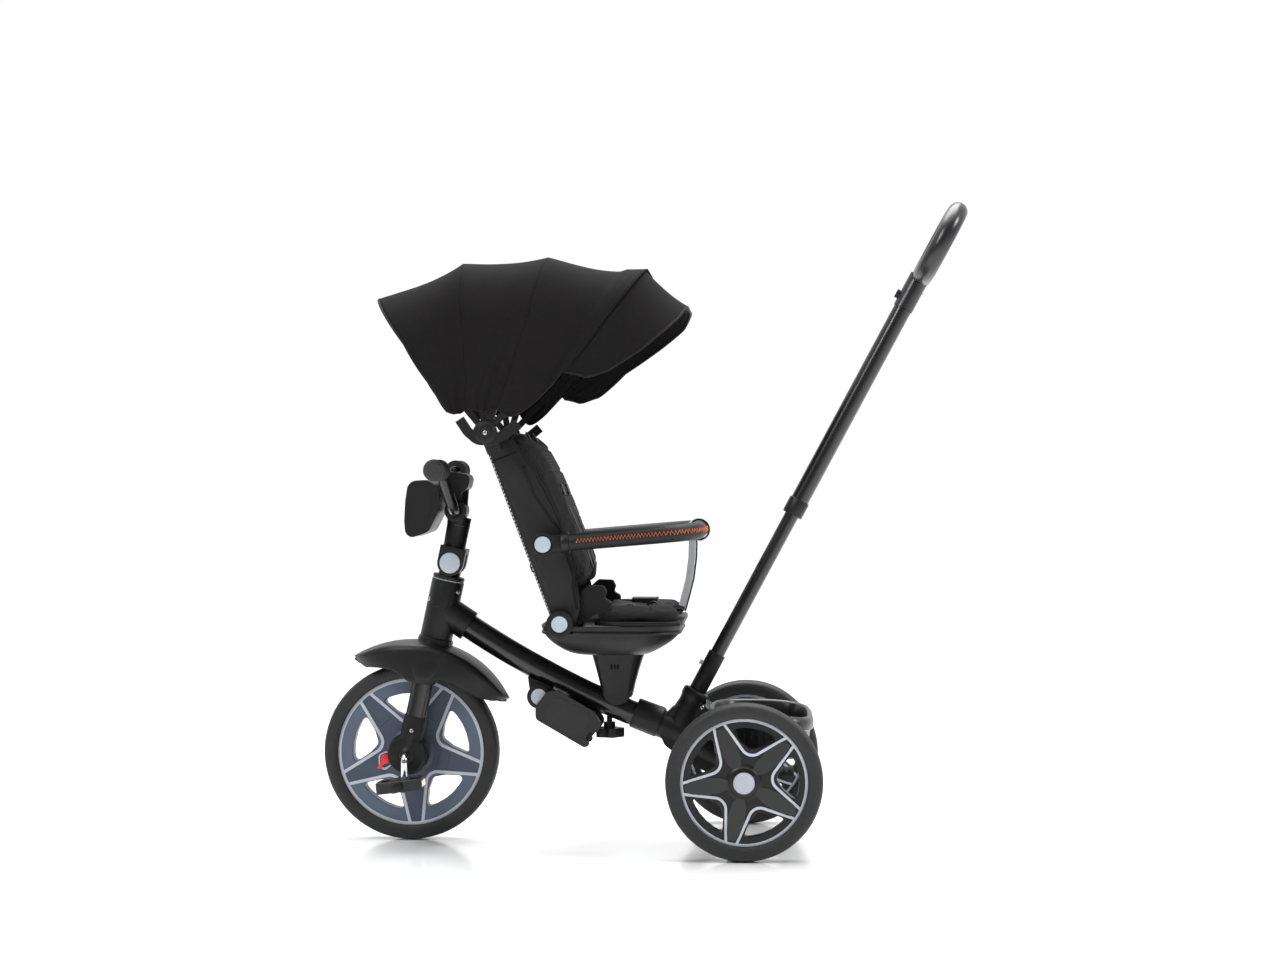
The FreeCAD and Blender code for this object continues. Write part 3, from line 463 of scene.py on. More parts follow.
def oblong(halfX, halfY, x=0.0, y=0.0):
    return [(x - halfX, y - halfY), (x + halfX, y - halfY), (x + halfX, y + halfY), (x - halfX, y + halfY)]


def rope(points, radius, sides=10, closed=False):
    # round bar along points
    curve = bpy.data.curves.new("run", "CURVE")
    curve.dimensions = "3D"
    curve.bevel_depth, curve.bevel_resolution = radius, max(1, sides // 4)
    curve.use_fill_caps = not closed
    spline = curve.splines.new("POLY")
    spline.points.add(len(points) - 1)
    for point, target in zip(points, spline.points):
        target.co = (*point, 1)
    spline.use_cyclic_u = closed
    holder = bpy.data.objects.new("run", curve)
    mesh = bpy.data.meshes.new_from_object(holder)
    bm = bmesh.new()
    bm.from_mesh(mesh)
    bpy.data.objects.remove(holder)
    bpy.data.curves.remove(curve)
    bpy.data.meshes.remove(mesh)
    return bm


def join(*shapes):
    # gather several bmeshes in one
    whole = bmesh.new()
    for shape in shapes:
        mesh = bpy.data.meshes.new("part")
        shape.to_mesh(mesh)
        shape.free()
        whole.from_mesh(mesh)
        bpy.data.meshes.remove(mesh)
    return whole


def moved(bm, place):
    bmesh.ops.transform(bm, matrix=place, verts=bm.verts)
    return bm


def sideSlab(outline, half, corner=4, steps=5):
    # a side outline in row X and Z, spread evenly across Y
    return moved(slab(rounded(outline, corner, steps), -half, half), facing)


def gridSheet(rows, columns, shapeAt, uvSize=None):
    # a grid whose points are set by shapeAt(u, v); uvSize gives its cloth size in metres
    bm = bmesh.new()
    bmesh.ops.create_grid(bm, x_segments=columns, y_segments=rows, size=0.5)
    layer = bm.loops.layers.uv.new("cloth")
    flat = {vert: (vert.co.x + 0.5, vert.co.y + 0.5) for vert in bm.verts}
    width, length = uvSize or (1, 1)
    for face in bm.faces:
        for loop in face.loops:
            u, v = flat[loop.vert]
            loop[layer].uv = (u * width, v * length)
    for vert, (u, v) in flat.items():
        vert.co = shapeAt(u, v)
    return bm


def loft(sections, count=48):
    # skin over rounded rectangles: (z, lowX, highX, halfY, power) each
    bm = bmesh.new()
    rings = []
    for z, low, high, half, power in sections:
        verts = bmesh.ops.create_circle(bm, cap_ends=False, radius=1, segments=count)["verts"]
        for vert in verts:
            angle = math.atan2(vert.co.y, vert.co.x)
            c, s = math.cos(angle), math.sin(angle)
            vert.co.x = (low + high) / 2 + (high - low) / 2 * math.copysign(abs(c) ** (2 / power), c)
            vert.co.y = half * math.copysign(abs(s) ** (2 / power), s)
            vert.co.z = z
        rings.append(verts)
    for first, second in zip(rings, rings[1:]):
        loops = {edge for ring in (first, second) for vert in ring for edge in vert.link_edges
                 if edge.other_vert(vert) in ring}
        bmesh.ops.bridge_loops(bm, edges=list(loops))
    bm.faces.new(rings[0])
    bm.faces.new(rings[-1])
    bmesh.ops.recalc_face_normals(bm, faces=bm.faces)
    return bm


def softened(node, finish, width=1.0, segments=2):
    # a copy of a frame part with its sharp edges rounded
    bm = bmesh.new()
    bm.from_mesh(frame["nodes"][node].data)
    bmesh.ops.remove_doubles(bm, verts=bm.verts, dist=1e-5)
    bmesh.ops.dissolve_limit(bm, angle_limit=math.radians(1.5), use_dissolve_boundaries=False,
                             verts=bm.verts, edges=bm.edges)
    sharp = [edge for edge in bm.edges
             if len(edge.link_faces) == 2 and edge.calc_face_angle(0) > math.radians(28)]
    bmesh.ops.bevel(bm, geom=sharp, offset=width * mm, offset_type="OFFSET", segments=segments, profile=0.5,
                    affect="EDGES", clamp_overlap=True, material=-1)
    return finishPiece(node + "_shell", bm, finish, bodyOf[node], replaces=(node,), scale=1)


def onBothSides(name, makeShape, finish, body, place, sidePlace, **settings):
    # the same piece left and right; sidePlace(side) sets it on its side
    for word, side in sides:
        finishPiece(name + "_" + word, makeShape(), finish, body, place @ sidePlace(side), **settings)


def screw(name, place, body, radius=3.2, finish="steel"):
    # small cross-head screw, head at local Z 0
    head = lathe([(0, 1.1), (radius * 0.6, 1.0), (radius * 0.9, 0.5), (radius, 0), (radius, -1.5), (0, -1.5)], 20)
    slots = join(*[moved(slab(oblong(radius * 0.6, 0.35), 1.0, 1.25), Matrix.Rotation(turn, 4, "Z"))
                   for turn in (0.4, 0.4 + math.pi / 2)])
    finishPiece(name, head, finish, body, place)
    # painted shade: the cross recess is a dark steel slab laid on the head
    finishPiece(name + "_cross", slots, "darkSteel", body, place)


def repaint(finish, *nodes):
    # give frame parts that keep their shape a better finish
    for node in nodes:
        for materialSlot in frame["nodes"][node].material_slots:
            materialSlot.material = finishes[finish]


print("helpers ready")


# wheels
wheels = {
    "front_wheel": {"place": frontPlace, "tyre": 135.5, "rim": 113.5, "half": 21, "turn": 22.5, "hub": 31,
                    "hubHalf": 23, "plateHalf": 13, "windowFoot": 52, "windowTop": 90, "vee": 43, "line": 5.0,
                    "colour": "rimBlue", "band": "rimPale", "centre": (-0.3575, 0.1355),
                    "nodes": ("front_tyre", "front_disc")},
    "rear_wheel_left": {"place": jointPlace("rear_wheel_spin_left"), "tyre": 115.3, "rim": 93.3, "half": 21,
                        "turn": 6, "hub": 22, "hubHalf": 19, "plateHalf": 12, "windowFoot": 47,
                        "windowTop": 80, "vee": 39.5, "line": 4.2, "colour": "rimBlack", "band": "rimBlack",
                        "centre": (0.158, 0.1153), "nodes": ("rear_tyre_left", "rear_disc_left")},
}
wheels["rear_wheel_right"] = {**wheels["rear_wheel_left"], "place": jointPlace("rear_wheel_spin_right"),
                              "nodes": ("rear_tyre_right", "rear_disc_right")}


def polar(radius, degrees):
    return radius * math.cos(math.radians(degrees)), radius * math.sin(math.radians(degrees))


def stripe(points, width, low, high):
    # a flat line of even width along open points
    points = [Vector(point) for point in points]
    left, right = [], []
    for index, point in enumerate(points):
        run = points[min(index + 1, len(points) - 1)] - points[max(index - 1, 0)]
        aside = Vector((-run.y, run.x)).normalized() * width / 2
        left.append((point + aside)[:2])
        right.append((point - aside)[:2])
    return slab(left + right[::-1], low, high)


def spokeWindow(wheel, centre):
    arc = [polar(wheel["windowTop"], centre - 25 + step * 10) for step in range(6)]
    foot = polar(wheel["windowFoot"], centre)
    left, right = polar(wheel["windowTop"] * 0.72, centre + 16), polar(wheel["windowTop"] * 0.72, centre - 16)
    return rounded([foot, right, *arc, left], 9, 4)


def grown(outline, degrees, factor):
    # the outline made a little larger about the middle of its spoke window
    middle = Vector(polar(73, degrees))
    return [tuple(middle + (Vector(point) - middle) * factor) for point in outline]


def treadProfile(wheel):
    half, crown = wheel["half"], wheel["tyre"]
    points = [(wheel["rim"], -half + 3), (wheel["rim"] + 3, -half + 1), (wheel["rim"] + 9, -half),
              (crown - 6, -half + 0.4), (crown - 3, -half + 2), (crown - 1.4, -half + 5)]
    for groove in (-11, -3.7, 3.7, 11):
        edge = crown - 0.9 * (groove / 11) ** 2 * 0.6
        points += [(edge, groove - 1.0), (edge - 1.5, groove - 0.6), (edge - 1.5, groove + 0.6),
                   (edge, groove + 1.0)]
    points += [(crown - 1.4, half - 5), (crown - 3, half - 2), (crown - 6, half - 0.4),
               (wheel["rim"] + 9, half), (wheel["rim"] + 3, half - 1), (wheel["rim"], half - 3),
               (wheel["rim"], -half + 3)]
    return points


def makeWheel(body, wheel):
    place = wheel["place"] @ facing
    tyre = lathe(treadProfile(wheel), 120)
    finishPiece(body + "_tyre", tyre, wheel["tread"], body, place, replaces=wheel["nodes"][:1], slot="tyre",
                sharp=40)
    rim, flat = wheel["rim"], wheel["plateHalf"]
    circle = [polar(rim - 7, step * 3) for step in range(120)]
    windows = [spokeWindow(wheel, wheel["turn"] + 72 * index) for index in range(5)]
    plate = slab(circle, -flat, flat, windows)
    finishPiece(body + "_disc", plate, wheel["colour"], body, place, replaces=wheel["nodes"][1:], bevel=2.2,
                segments=3)
    channel = ringShape(rim, rim - 9, -flat - 0.2, flat + 0.2, 1.0, 120)
    finishPiece(body + "_rim", channel, wheel["colour"], body, place)
    for side in (-1, 1):
        flip = place if side == 1 else place @ turned(180, "X")
        sign = 1 if side == 1 else -1
        ring = ringShape(rim - 0.3, rim - 0.3 - wheel["line"], flat - 0.4, flat + 1.3, 0.4, 120)
        vees, bands = [ring], []
        for index in range(5):
            centre = sign * (wheel["turn"] + 72 * index)
            corners = [polar(rim - 3, centre - 31), polar(wheel["vee"] - 4, centre), polar(rim - 3, centre + 31)]
            edge = roundCorners(corners, 17, 8, closed=False)
            vees.append(stripe(edge, wheel["line"] - 0.3, flat - 0.6, flat + 1.2))
            rimArc = [polar(rim - 3, centre + 31 - step * 6.2) for step in range(1, 10)]
            bands.append(slab([point[:2] for point in edge] + rimArc, flat - 0.3, flat + 0.25,
                              [grown(spokeWindow(wheel, centre), centre, 1.045)]))
        finishPiece(body + "_lines_%d" % side, join(*vees), "line", body, flip, sharp=30)
        finishPiece(body + "_bands_%d" % side, join(*bands), wheel["band"], body, flip)
        hub, top = wheel["hub"], wheel["hubHalf"]
        boss = lathe([(0, top), (hub * 0.45, top), (hub * 0.5, top - 0.8), (hub * 0.5, top - 2.4),
                      (hub * 0.8, top - 3), (hub * 0.9, top - 4.2), (hub, flat + 3), (hub + 3, flat + 0.6),
                      (hub + 7, flat - 0.5)], 72)
        finishPiece(body + "_hub_%d" % side, boss, wheel["colour"], body, flip)
        if wheel["colour"] == "rimBlack":
            petals = []
            for index in range(5):
                turn = turned(sign * wheel["turn"] + 36 + 72 * index, "Z")
                leaf = [(20, -5), (34, -11), (56, -13), (78, -9), (86, -6), (86, 6), (78, 9), (56, 13), (34, 11),
                        (20, 5)]
                petals.append(moved(slab(rounded(leaf, 12, 4), flat - 0.2, flat + 1.5),
                                    turn))
            finishPiece(body + "_petals_%d" % side, join(*petals), "tube", body, flip, bevel=1.3, segments=3)
        for index in range(3):
            x, y = polar(hub * 0.7, 30 + 120 * index)
            screw(body + "_screw_%d_%d" % (side, index), flip @ at(x, y, top - 2.2), body, 2.6, "darkSteel")


for body, wheel in wheels.items():
    wheel["tread"] = body + "Tread"
    finishes[wheel["tread"]] = rubber(wheel["tread"], (0.006, 0.006, 0.006375), (0.015, 0.015, 0.015),
                                      0.52, wheel["centre"])
    makeWheel(body, wheel)

rearCap = [(0, 24.5), (9, 24.3), (13.4, 23.6), (15, 22.4), (15.6, 20.6), (15.6, 17)]
for word, side in sides:
    finishPiece("rear_cap_" + word, lathe(rearCap, 56), "button", "rear_wheel_" + word,
                wheels["rear_wheel_" + word]["place"] @ alongY(side))
repaint("darkSteel", "rear_axle")

# red lever in its keyhole on the front disc
lever = {"spot": (-39.0, -11.5)}
leverPlace = frontPlace @ facing @ at(*lever["spot"])
keyhole = rounded([(-11, -11), (-4, -19), (11, -9), (12, 8), (0, 12), (-12, 6)], 7)
keyRing = slab(keyhole, 12.6, 13.6, [[(x * 0.8, y * 0.8) for x, y in keyhole]])
finishPiece("clutch_frame", keyRing, "line", "front_wheel", leverPlace, bevel=0.3)
softened("clutch_lever", "red", 0.8)

# crank and pedals
pedal = {"long": 34.5, "half": 25, "thick": 8.5, "tilt": 7}
repaint("chrome", "crank")
for word, side in sides:
    place = jointPlace("pedal_spin_" + word, -pedal["tilt"])
    openings = [rounded(oblong(6, 17, x), 3, 3) for x in (-21, 21)]
    body = slab(rounded(oblong(pedal["long"], pedal["half"]), 7, 4), -pedal["thick"], pedal["thick"], openings)
    finishPiece("pedal_block_" + word, body, "plate", "pedal_" + word, place, replaces=("pedal_" + word,),
                slot="plate_plastic", bevel=1.6, segments=3)
    ribs = join(*[moved(slab(oblong(4, 21), 8.2, 9.6), turn @ at(x))
                  for x in (-7, 7) for turn in (Matrix.Identity(4), turned(180, "X"))])
    finishPiece("pedal_tread_" + word, ribs, "grip", "pedal_" + word, place, bevel=0.8)
    finishPiece("pedal_cap_" + word, disc(7.5, 20, 30.6, 1.5), "shell", "pedal_" + word,
                jointPlace("pedal_spin_" + word) @ alongY(side))
    mirrors = slab(oblong(0.8, 17, pedal["long"] + 0.1), -4.6, 4.6)
    finishPiece("pedal_reflectors_" + word, mirrors, "amber", "pedal_" + word, place, bevel=0.4)
print("wheels and pedals ready")


# frame
for node, edge in (("head_lug", 2.5), ("handle_socket", 1.5), ("footrest_bracket", 1.5),
                   ("seat_pedestal", 2.0), ("brake_pedal", 1.2), ("footrest_pod", 2.0), ("seat_knob", 1.2)):
    softened(node, "shell", edge, 3)
footSide = [(13, -31), (3, -14), (7, 14), (20, 24), (86, 24), (105, 13), (105, -3), (93, -5), (93, -20),
            (105, -20), (101, -31)]
for word, side in sides:
    plateShape = sideSlab(footSide, 4.5, 10, 6)
    finishPiece("foot_plate_" + word + "_shell", plateShape, "plate", "foot_plate_" + word,
                footPlace @ at(0, side * 36.1, 0), replaces=("foot_plate_" + word,), slot="plate_plastic",
                bevel=3.6, segments=4)
    panel = [(26, -22), (18, -8), (22, 12), (32, 17), (78, 17), (86, 8), (86, -22)]
    inset = sideSlab(panel, 0.5, 8)
    finishPiece("foot_plate_" + word + "_panel", inset, "grip", "foot_plate_" + word,
                footPlace @ at(0, side * 40.7, 0), bevel=0.4)
footDisc = [(0, 31.4), (11, 31.4), (12.6, 30.8), (13, 29.5), (13, 28)]
onBothSides("footrest_disc", lambda: lathe(footDisc, 48), "button", "footrest", footPlace, alongY)
onBothSides("footrest_ring", lambda: ringShape(18.5, 13.2, 22, 30.4, 1.5, 56), "shell", "footrest", footPlace,
            alongY)
repaint("tube", "main_tube", "handle_lower_tube", "handle_upper_tube", "fork_blades", "handlebar")
repaint("shell", "steering_bushes")
repaint("darkSteel", "steering_post")
repaint("button", "socket_button")
repaint("shell", "handle_button")
for name, turn, height in (("head_screw", -150, 236.7), ("head_bolt", -35, 256)):
    screw(name, steerPlace @ turned(turn, "Z") @ at(24.6, 0, height) @
          turned(90, "Y"), "frame", 3.6)
for name, x, y, z in (("lug_screw_top", 92, -15.6, 206), ("lug_screw_back", 126, -21.5, 131)):
    screw(name, at(x, y, z) @ facing, "frame")
bushRing = ringShape(24.4, 11.2, 269.7, 270.9, 0.3, 64)
finishPiece("bush_ring", bushRing, "line", "frame", steerPlace)
headRing = ringShape(25.5, 24, 226.5, 228.5, 0.5, 64)
finishPiece("head_ring", headRing, "shell", "frame", steerPlace)

lugSide = [(20, 180), (46, 206), (62, 214), (88, 216), (104, 200), (110, 158), (128, 140), (160, 137),
           (178, 128), (180, 106), (164, 93), (140, 93), (96, 108), (60, 128), (34, 148)]
lugBody = sideSlab(lugSide, 15, 14, 6)
finishPiece("lug_body", lugBody, "shell", "frame", replaces=("rear_lug",), slot="black_shell", bevel=6,
            segments=5)
arm = rope(roundCorners([(8, 0, 188), (52, 0, 170), (104, 0, 138), (158, 0, 116)], 60, 6, closed=False), 21.5, 40)
finishPiece("lug_arm", arm, "shell", "frame", sharp=50)
boss = lathe([(0, -140), (17, -138), (20.5, -122), (20.5, -100), (19, -88), (19.5, -80), (21, -76), (21, -68),
              (19, -65), (13.6, -64)], 56)
finishPiece("lug_boss", boss, "shell", "frame", handlePlace)
casing = lathe([(6.3, -165), (15.5, -165), (17, -163), (17, -60), (19, -56), (24, -34), (25, -20), (25, 20),
                (24, 34), (19, 56), (17, 60), (17, 163), (15.5, 165), (6.3, 165)], 64)
finishPiece("axle_casing", casing, "tub", "frame", at(158, 0, 115.3) @ facing)
tubeCuff = lathe([(19.3, -30), (22.5, -30), (23.6, -28), (24.2, 12), (21, 16)], 64)
finishPiece("lug_cuff", tubeCuff, "shell", "frame",
            at(15, 0, 186) @ turned(110.8, "Y"))

basket = {"rearDrop": 8.0}
tub = loft([(144, 124, 240, 110, 4.2), (146, 117, 246, 118, 4.0), (190, 112, 251, 124, 4.0),
            (203, 111, 252, 125, 4.0), (206, 108.5, 254.5, 127.5, 4.0), (206.5, 106, 257, 130, 4.0),
            (203, 102.5, 260.5, 133.5, 4.0), (196, 101, 262, 135, 4.0), (188, 102, 261, 134, 4.0),
            (185, 106, 257, 130, 4.0), (143, 111, 252, 124, 4.0), (139, 116, 247, 119, 4.2)], 96)
for vert in tub.verts:
    reach = min(1.0, max(0.0, (vert.co.x - 175) / 87))
    if vert.co.z > 160:
        vert.co.z -= basket["rearDrop"] * reach * reach
finishPiece("basket_tub", tub, "tub", "frame", replaces=("rear_basket",), slot="black_shell", sharp=50)
ribs = join(*[moved(slab(oblong(1.2, 1.5), 146, 182), at(x, side * 129, 0))
              for x in range(138, 232, 10) for side in (-1, 1)])
finishPiece("basket_ribs", ribs, "shell", "frame", bevel=0.5)
pedestalSlots = join(*[moved(slab(oblong(1.2, 5.5), -1.5, 0.35),
                             at(x, -37.1, 271) @ turned(-16, "X") @ facing)
                       for x in (-46, -41, -36)])
finishPiece("pedestal_slots", pedestalSlots, "darkSteel", "frame")
teeth = join(*[moved(slab(oblong(0.7, 6), -3, 3),
                     at(99 + 2.8 * index, -14, 212 - 1.6 * index) @ facing) for index in range(4)])
finishPiece("basket_teeth", teeth, "button", "frame", bevel=0.3)
print("frame ready")


# fork, fender and stem
fender = {"skirts": [(28.5, 167), (32, 149.6), (38.6, 137), (51, 128.8), (61, 128), (67.7, 123.6), (74, 114),
                     (81.5, 109), (90, 113), (96, 124.6), (101.7, 132), (118, 148), (121.5, 169)],
          "half": 61.5, "first": 28.5, "sweep": 93, "shoulder": 157, "round": 12, "top": 47, "rise": 3.5}


def tableAt(table, place):
    for (low, first), (high, second) in zip(table, table[1:]):
        if place <= high:
            share = max(0.0, (place - low) / (high - low))
            return first + (second - first) * share
    return table[-1][1]


def fenderPoint(u, v):
    angle = fender["first"] + fender["sweep"] * v
    skirt = tableAt(fender["skirts"], angle)
    shoulder, bend, top = fender["shoulder"], fender["round"], fender["top"]
    narrow = math.sqrt(max(0.002, 1 - abs(2 * v - 1) ** 2.7))    # plan view closes to a rounded tip
    edge = 1 - abs(2 * u - 1)                                    # 0 at the lower rims, 1 on the crown line
    side = -1 if u < 0.5 else 1
    if edge < 0.42:
        share = edge / 0.42
        radius, across = skirt + (shoulder - skirt) * share, fender["half"] - 2.5 * share ** 2
    elif edge < 0.66:
        turn = (edge - 0.42) / 0.24 * math.pi / 2
        radius, across = shoulder + bend * math.sin(turn), top + bend * math.cos(turn)
    else:
        share = (edge - 0.66) / 0.34
        radius, across = shoulder + bend + fender["rise"] * math.sin(share * math.pi / 2), top * (1 - share)
    x, z = polar(max(radius, skirt), angle)
    return Vector((x, side * across * narrow, z))


hood = gridSheet(64, 60, fenderPoint)
middle = next(face for face in hood.faces if abs(face.calc_center_median().y) < 4)
if middle.normal.z < 0:
    bmesh.ops.reverse_faces(hood, faces=hood.faces)
finishPiece("fender_hood", hood, "shell", "fork", frontPlace, replaces=("fender",), slot="black_shell", thick=3,
            sharp=60)
neck = lathe([(11.6, 176), (11.6, 180), (24.5, 180), (26.8, 178.5), (27.5, 172), (29.5, 164), (33, 156),
              (39, 149), (48, 144), (52, 141), (52, 136), (11.6, 136)], 72)
finishPiece("fork_neck", neck, "shell", "fork", steerPlace)
socket = [(111, -17, 17, 17, 2.2), (114, -19.5, 19.5, 18.5, 2.4), (124, -25, 25, 18.6, 2.8),
          (138, -33, 33, 17.5, 3.2), (150, -34, 34, 15, 3.6)]
onBothSides("blade_socket", lambda: loft(socket), "shell", "fork", steerPlace, lambda side: at(0, side * 44.5, 0),
            sharp=50)
softened("fork_ends", "shell", 1.5, 3)
forkCover = [(0, 67), (5, 66.6), (9, 65.2), (12, 62.5), (13.2, 60), (13.2, 56)]
forkBall = [(0, 60.5), (13, 60), (23, 57.6), (29.5, 52), (32, 44), (32, 35), (30, 30), (22, 30)]
onBothSides("fork_cover", lambda: lathe(forkCover, 40), "shell", "fork", frontPlace, alongY)
onBothSides("fork_ball", lambda: lathe(forkBall, 72), "shell", "fork", frontPlace, alongY)
for word, side in sides:
    screw("fork_screw_" + word, steerPlace @ at(0, side * 62.6, 38) @ alongY(side), "fork", 3)
softened("stem_base", "shell", 1.2)
softened("stem_clevis", "shell", 1.6, 3)
softened("stem_button", "button", 1.5, 3)

elbow = rope(roundCorners([(-294, 0, 452), (-288.5, 0, 484), (-287, 0, 503), (-284, 0, 541)], 40, 6,
                          closed=False), 15.0, 32)
finishPiece("stem_elbow", elbow, "shell", "handlebar")
finishPiece("stem_ring", ringShape(16.1, 15, 356.2, 358, 0.4, 48), "darkSteel", "handlebar", steerPlace)

pod = {"side": [(-356.8, 553), (-361.4, 522.5), (-363, 491.7), (-361.4, 473), (-352.6, 466), (-326, 475),
                (-309.4, 507.7), (-309, 544), (-329, 554.8)],
       "box": [(-312, 568), (-305, 568.6), (-263, 562.5), (-268, 541), (-278, 536), (-278, 525.5), (-298, 526),
               (-296, 545), (-312, 545)]}

finishPiece("dash_face", sideSlab(pod["side"], 48, 15), "shell", "handlebar", replaces=("dash_pod",),
            slot="black_shell", bevel=13, segments=7)
finishPiece("dash_box", sideSlab(pod["box"], 27, 9), "shell", "handlebar", bevel=6, segments=5)
middlePoint = Vector((-337, 514))
inner = [tuple(middlePoint + (Vector(point) - middlePoint) * 0.6) for point in pod["side"]]
finishPiece("dash_panel", sideSlab(inner, 48.5, 10), "shell", "handlebar", bevel=0.8, segments=3)
horn = lathe([(0, 4.6), (4, 4.2), (6.8, 3), (8.3, 1), (8.6, -1), (8.6, -3)], 40)
finishPiece("horn_dome", horn, "shell", "horn_button", at(-290, 0, 571), replaces=("horn_button",))
grip = {"waves": 11, "pitch": 4.2}
for word, side in sides:
    profile = [(9.2, 92), (15.5, 92), (16.5, 93), (16.5, 95), (15.5, 96), (14, 97)]
    for wave in range(grip["waves"]):
        low = 98 + wave * grip["pitch"]
        profile += [(13.0, low), (14.0, low + 1.0), (14.0, low + 2.8), (13.0, low + 3.8)]
    profile += [(14, 145.5), (15.6, 147), (16.5, 148.2), (16.5, 150.5), (15.6, 152), (12.5, 153.4), (11.5, 155),
                (0, 155)]
    finishPiece("grip_" + word, lathe(profile, 48), "grip", "handlebar", at(-302.7, 0, 569) @ alongY(side),
                replaces=("grips",), slot="grip_rubber")
print("steering ready")


# push handle
repaint("sheen", "handle_loop")
screw("hub_screw_handle", handlePlace @ at(15.6, 0, 634) @ turned(90, "Y"), "push_handle", 3.4)
collar = lathe([(14.05, -13), (15.4, -12.4), (15.9, -11), (15.9, 11), (15.4, 12.4), (14.05, 13)], 48)
finishPiece("handle_collar", collar, "shell", "push_handle", handlePlace @ at(0, 0, 255))
print("push handle ready")


# seat
softened("seat_base", "shell", 2.0, 3)
for node in ("recline_button_left", "recline_button_right", "bumper_button_left", "bumper_button_right"):
    softened(node, "button", 1.2, 3)


filling = {"voxel": 0.0045, "pressure": 4.0, "reach": 0.008, "steps": 20}


def inflate(piece, voxel, pressure, reach, steps):
    # fill a closed cover like a cushion: cloth under inner pressure, never further than reach
    remesh = piece.modifiers.new("weave", "REMESH")
    remesh.mode, remesh.voxel_size = "VOXEL", voxel
    bpy.context.view_layer.update()
    graph = bpy.context.evaluated_depsgraph_get()
    mesh = bpy.data.meshes.new_from_object(piece.evaluated_get(graph))
    piece.modifiers.clear()
    old = piece.data
    piece.data = mesh
    bpy.data.meshes.remove(old)
    start = [vert.co.copy() for vert in mesh.vertices]
    cloth = piece.modifiers.new("cloth", "CLOTH")
    cloth.settings.use_pressure = True
    cloth.settings.uniform_pressure_force = pressure
    cloth.settings.effector_weights.gravity = 0
    cloth.settings.quality = 6
    cloth.point_cache.frame_start, cloth.point_cache.frame_end = 1, steps
    for step in range(1, steps + 1):
        bpy.context.scene.frame_set(step)
    graph = bpy.context.evaluated_depsgraph_get()
    full = piece.evaluated_get(graph).to_mesh()
    moves = [vert.co - place for vert, place in zip(full.vertices, start)]
    piece.evaluated_get(graph).to_mesh_clear()
    piece.modifiers.clear()
    for vert, place, move in zip(mesh.vertices, start, moves):
        vert.co = place + (move if move.length <= reach else move.normalized() * reach)
    bpy.context.scene.frame_set(1)
    return piece


def cushion(name, bm, finish, body, place, node, tuck, limit):
    # a filled pad: bm is its cover in place; tuck(local) gives the depth in mm to push in along face normals
    piece = newPiece(name, bm, finish, place)
    inflate(piece, **filling)
    bm = bmesh.new()
    bm.from_mesh(piece.data)
    bmesh.ops.smooth_vert(bm, verts=bm.verts, factor=0.5, use_axis_x=True, use_axis_y=True, use_axis_z=True)
    bmesh.ops.subdivide_edges(bm, edges=bm.edges, cuts=1, use_grid_fill=True, smooth=1.0)
    bm.normal_update()
    back = place.inverted()
    moves = {}
    for vert in bm.verts:
        local = back @ (vert.co / mm)
        moves[vert] = -vert.normal * tuck(local) * mm
    for vert, move in moves.items():
        local = back @ ((vert.co + move) / mm)
        clipped = Vector(max(low, min(high, part)) for part, (low, high) in zip(local, limit))
        vert.co = (place @ clipped) * mm
    bm.to_mesh(piece.data)
    bm.free()
    dress(piece.data, finish)
    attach(piece, body)
    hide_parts(node)


def groove(distance, width):
    # 1 in the middle of a seam, falling to 0 at its width
    return max(0.0, 1 - (distance / width) ** 2) ** 2 if abs(distance) < width else 0.0


def crossPad(bars, spacing):
    return min(abs(bars - spacing * round(bars / spacing)), spacing)


seatPad = {"long": 61.5, "middle": -1.5, "half": 134, "low": 341, "high": 359, "depth": 3.2}


def seatTuck(local):
    if local.z < 352 or abs(local.y) > 126:
        return 0.0
    return seatPad["depth"] * groove(local.x - 14, 4) + seatPad["depth"] * groove(abs(local.y) - 76, 4)


outline = rounded(oblong(seatPad["long"], seatPad["half"], seatPad["middle"]), 34, 8)
seatCover = slab(outline, seatPad["low"], seatPad["high"])
cushion("seat_cushion", seatCover, "seat", "seat", Matrix.Identity(4), "seat_pad", seatTuck,
        limit=((-66, 66), (-141, 141), (338.6, 366)))

backPad = {"profile": [(24, 38), (-2.5, 62), (-2.5, 286), (47, 288), (58, 220), (62, 140), (61, 64), (56, 40)],
           "half": 114, "seams": 38.0, "depth": 4.0}


def backTuck(local):
    if local.x < 30 or abs(local.y) > 110:
        return 0.0
    bars = groove(crossPad(local.z - 30, backPad["seams"]), 4.5) if local.z > 60 and abs(local.y) < 96 else 0
    return backPad["depth"] * max(bars * 0.5, groove(abs(local.y) - 74, 4.5))


backCover = sideSlab(backPad["profile"], backPad["half"], 8)
cushion("back_cushion", backCover, "mesh", "backrest", backPlace, "back_pad", backTuck,
        limit=((-5.4, 68), (-118, 118), (34, 293)))

softened("back_shell", "liner", 5.0, 4)
softened("canopy_hubs", "shell", 1.5, 3)


def backRope(name, points, radius):
    finishPiece(name, rope(points, radius, 10), "piping", "backrest", backPlace)


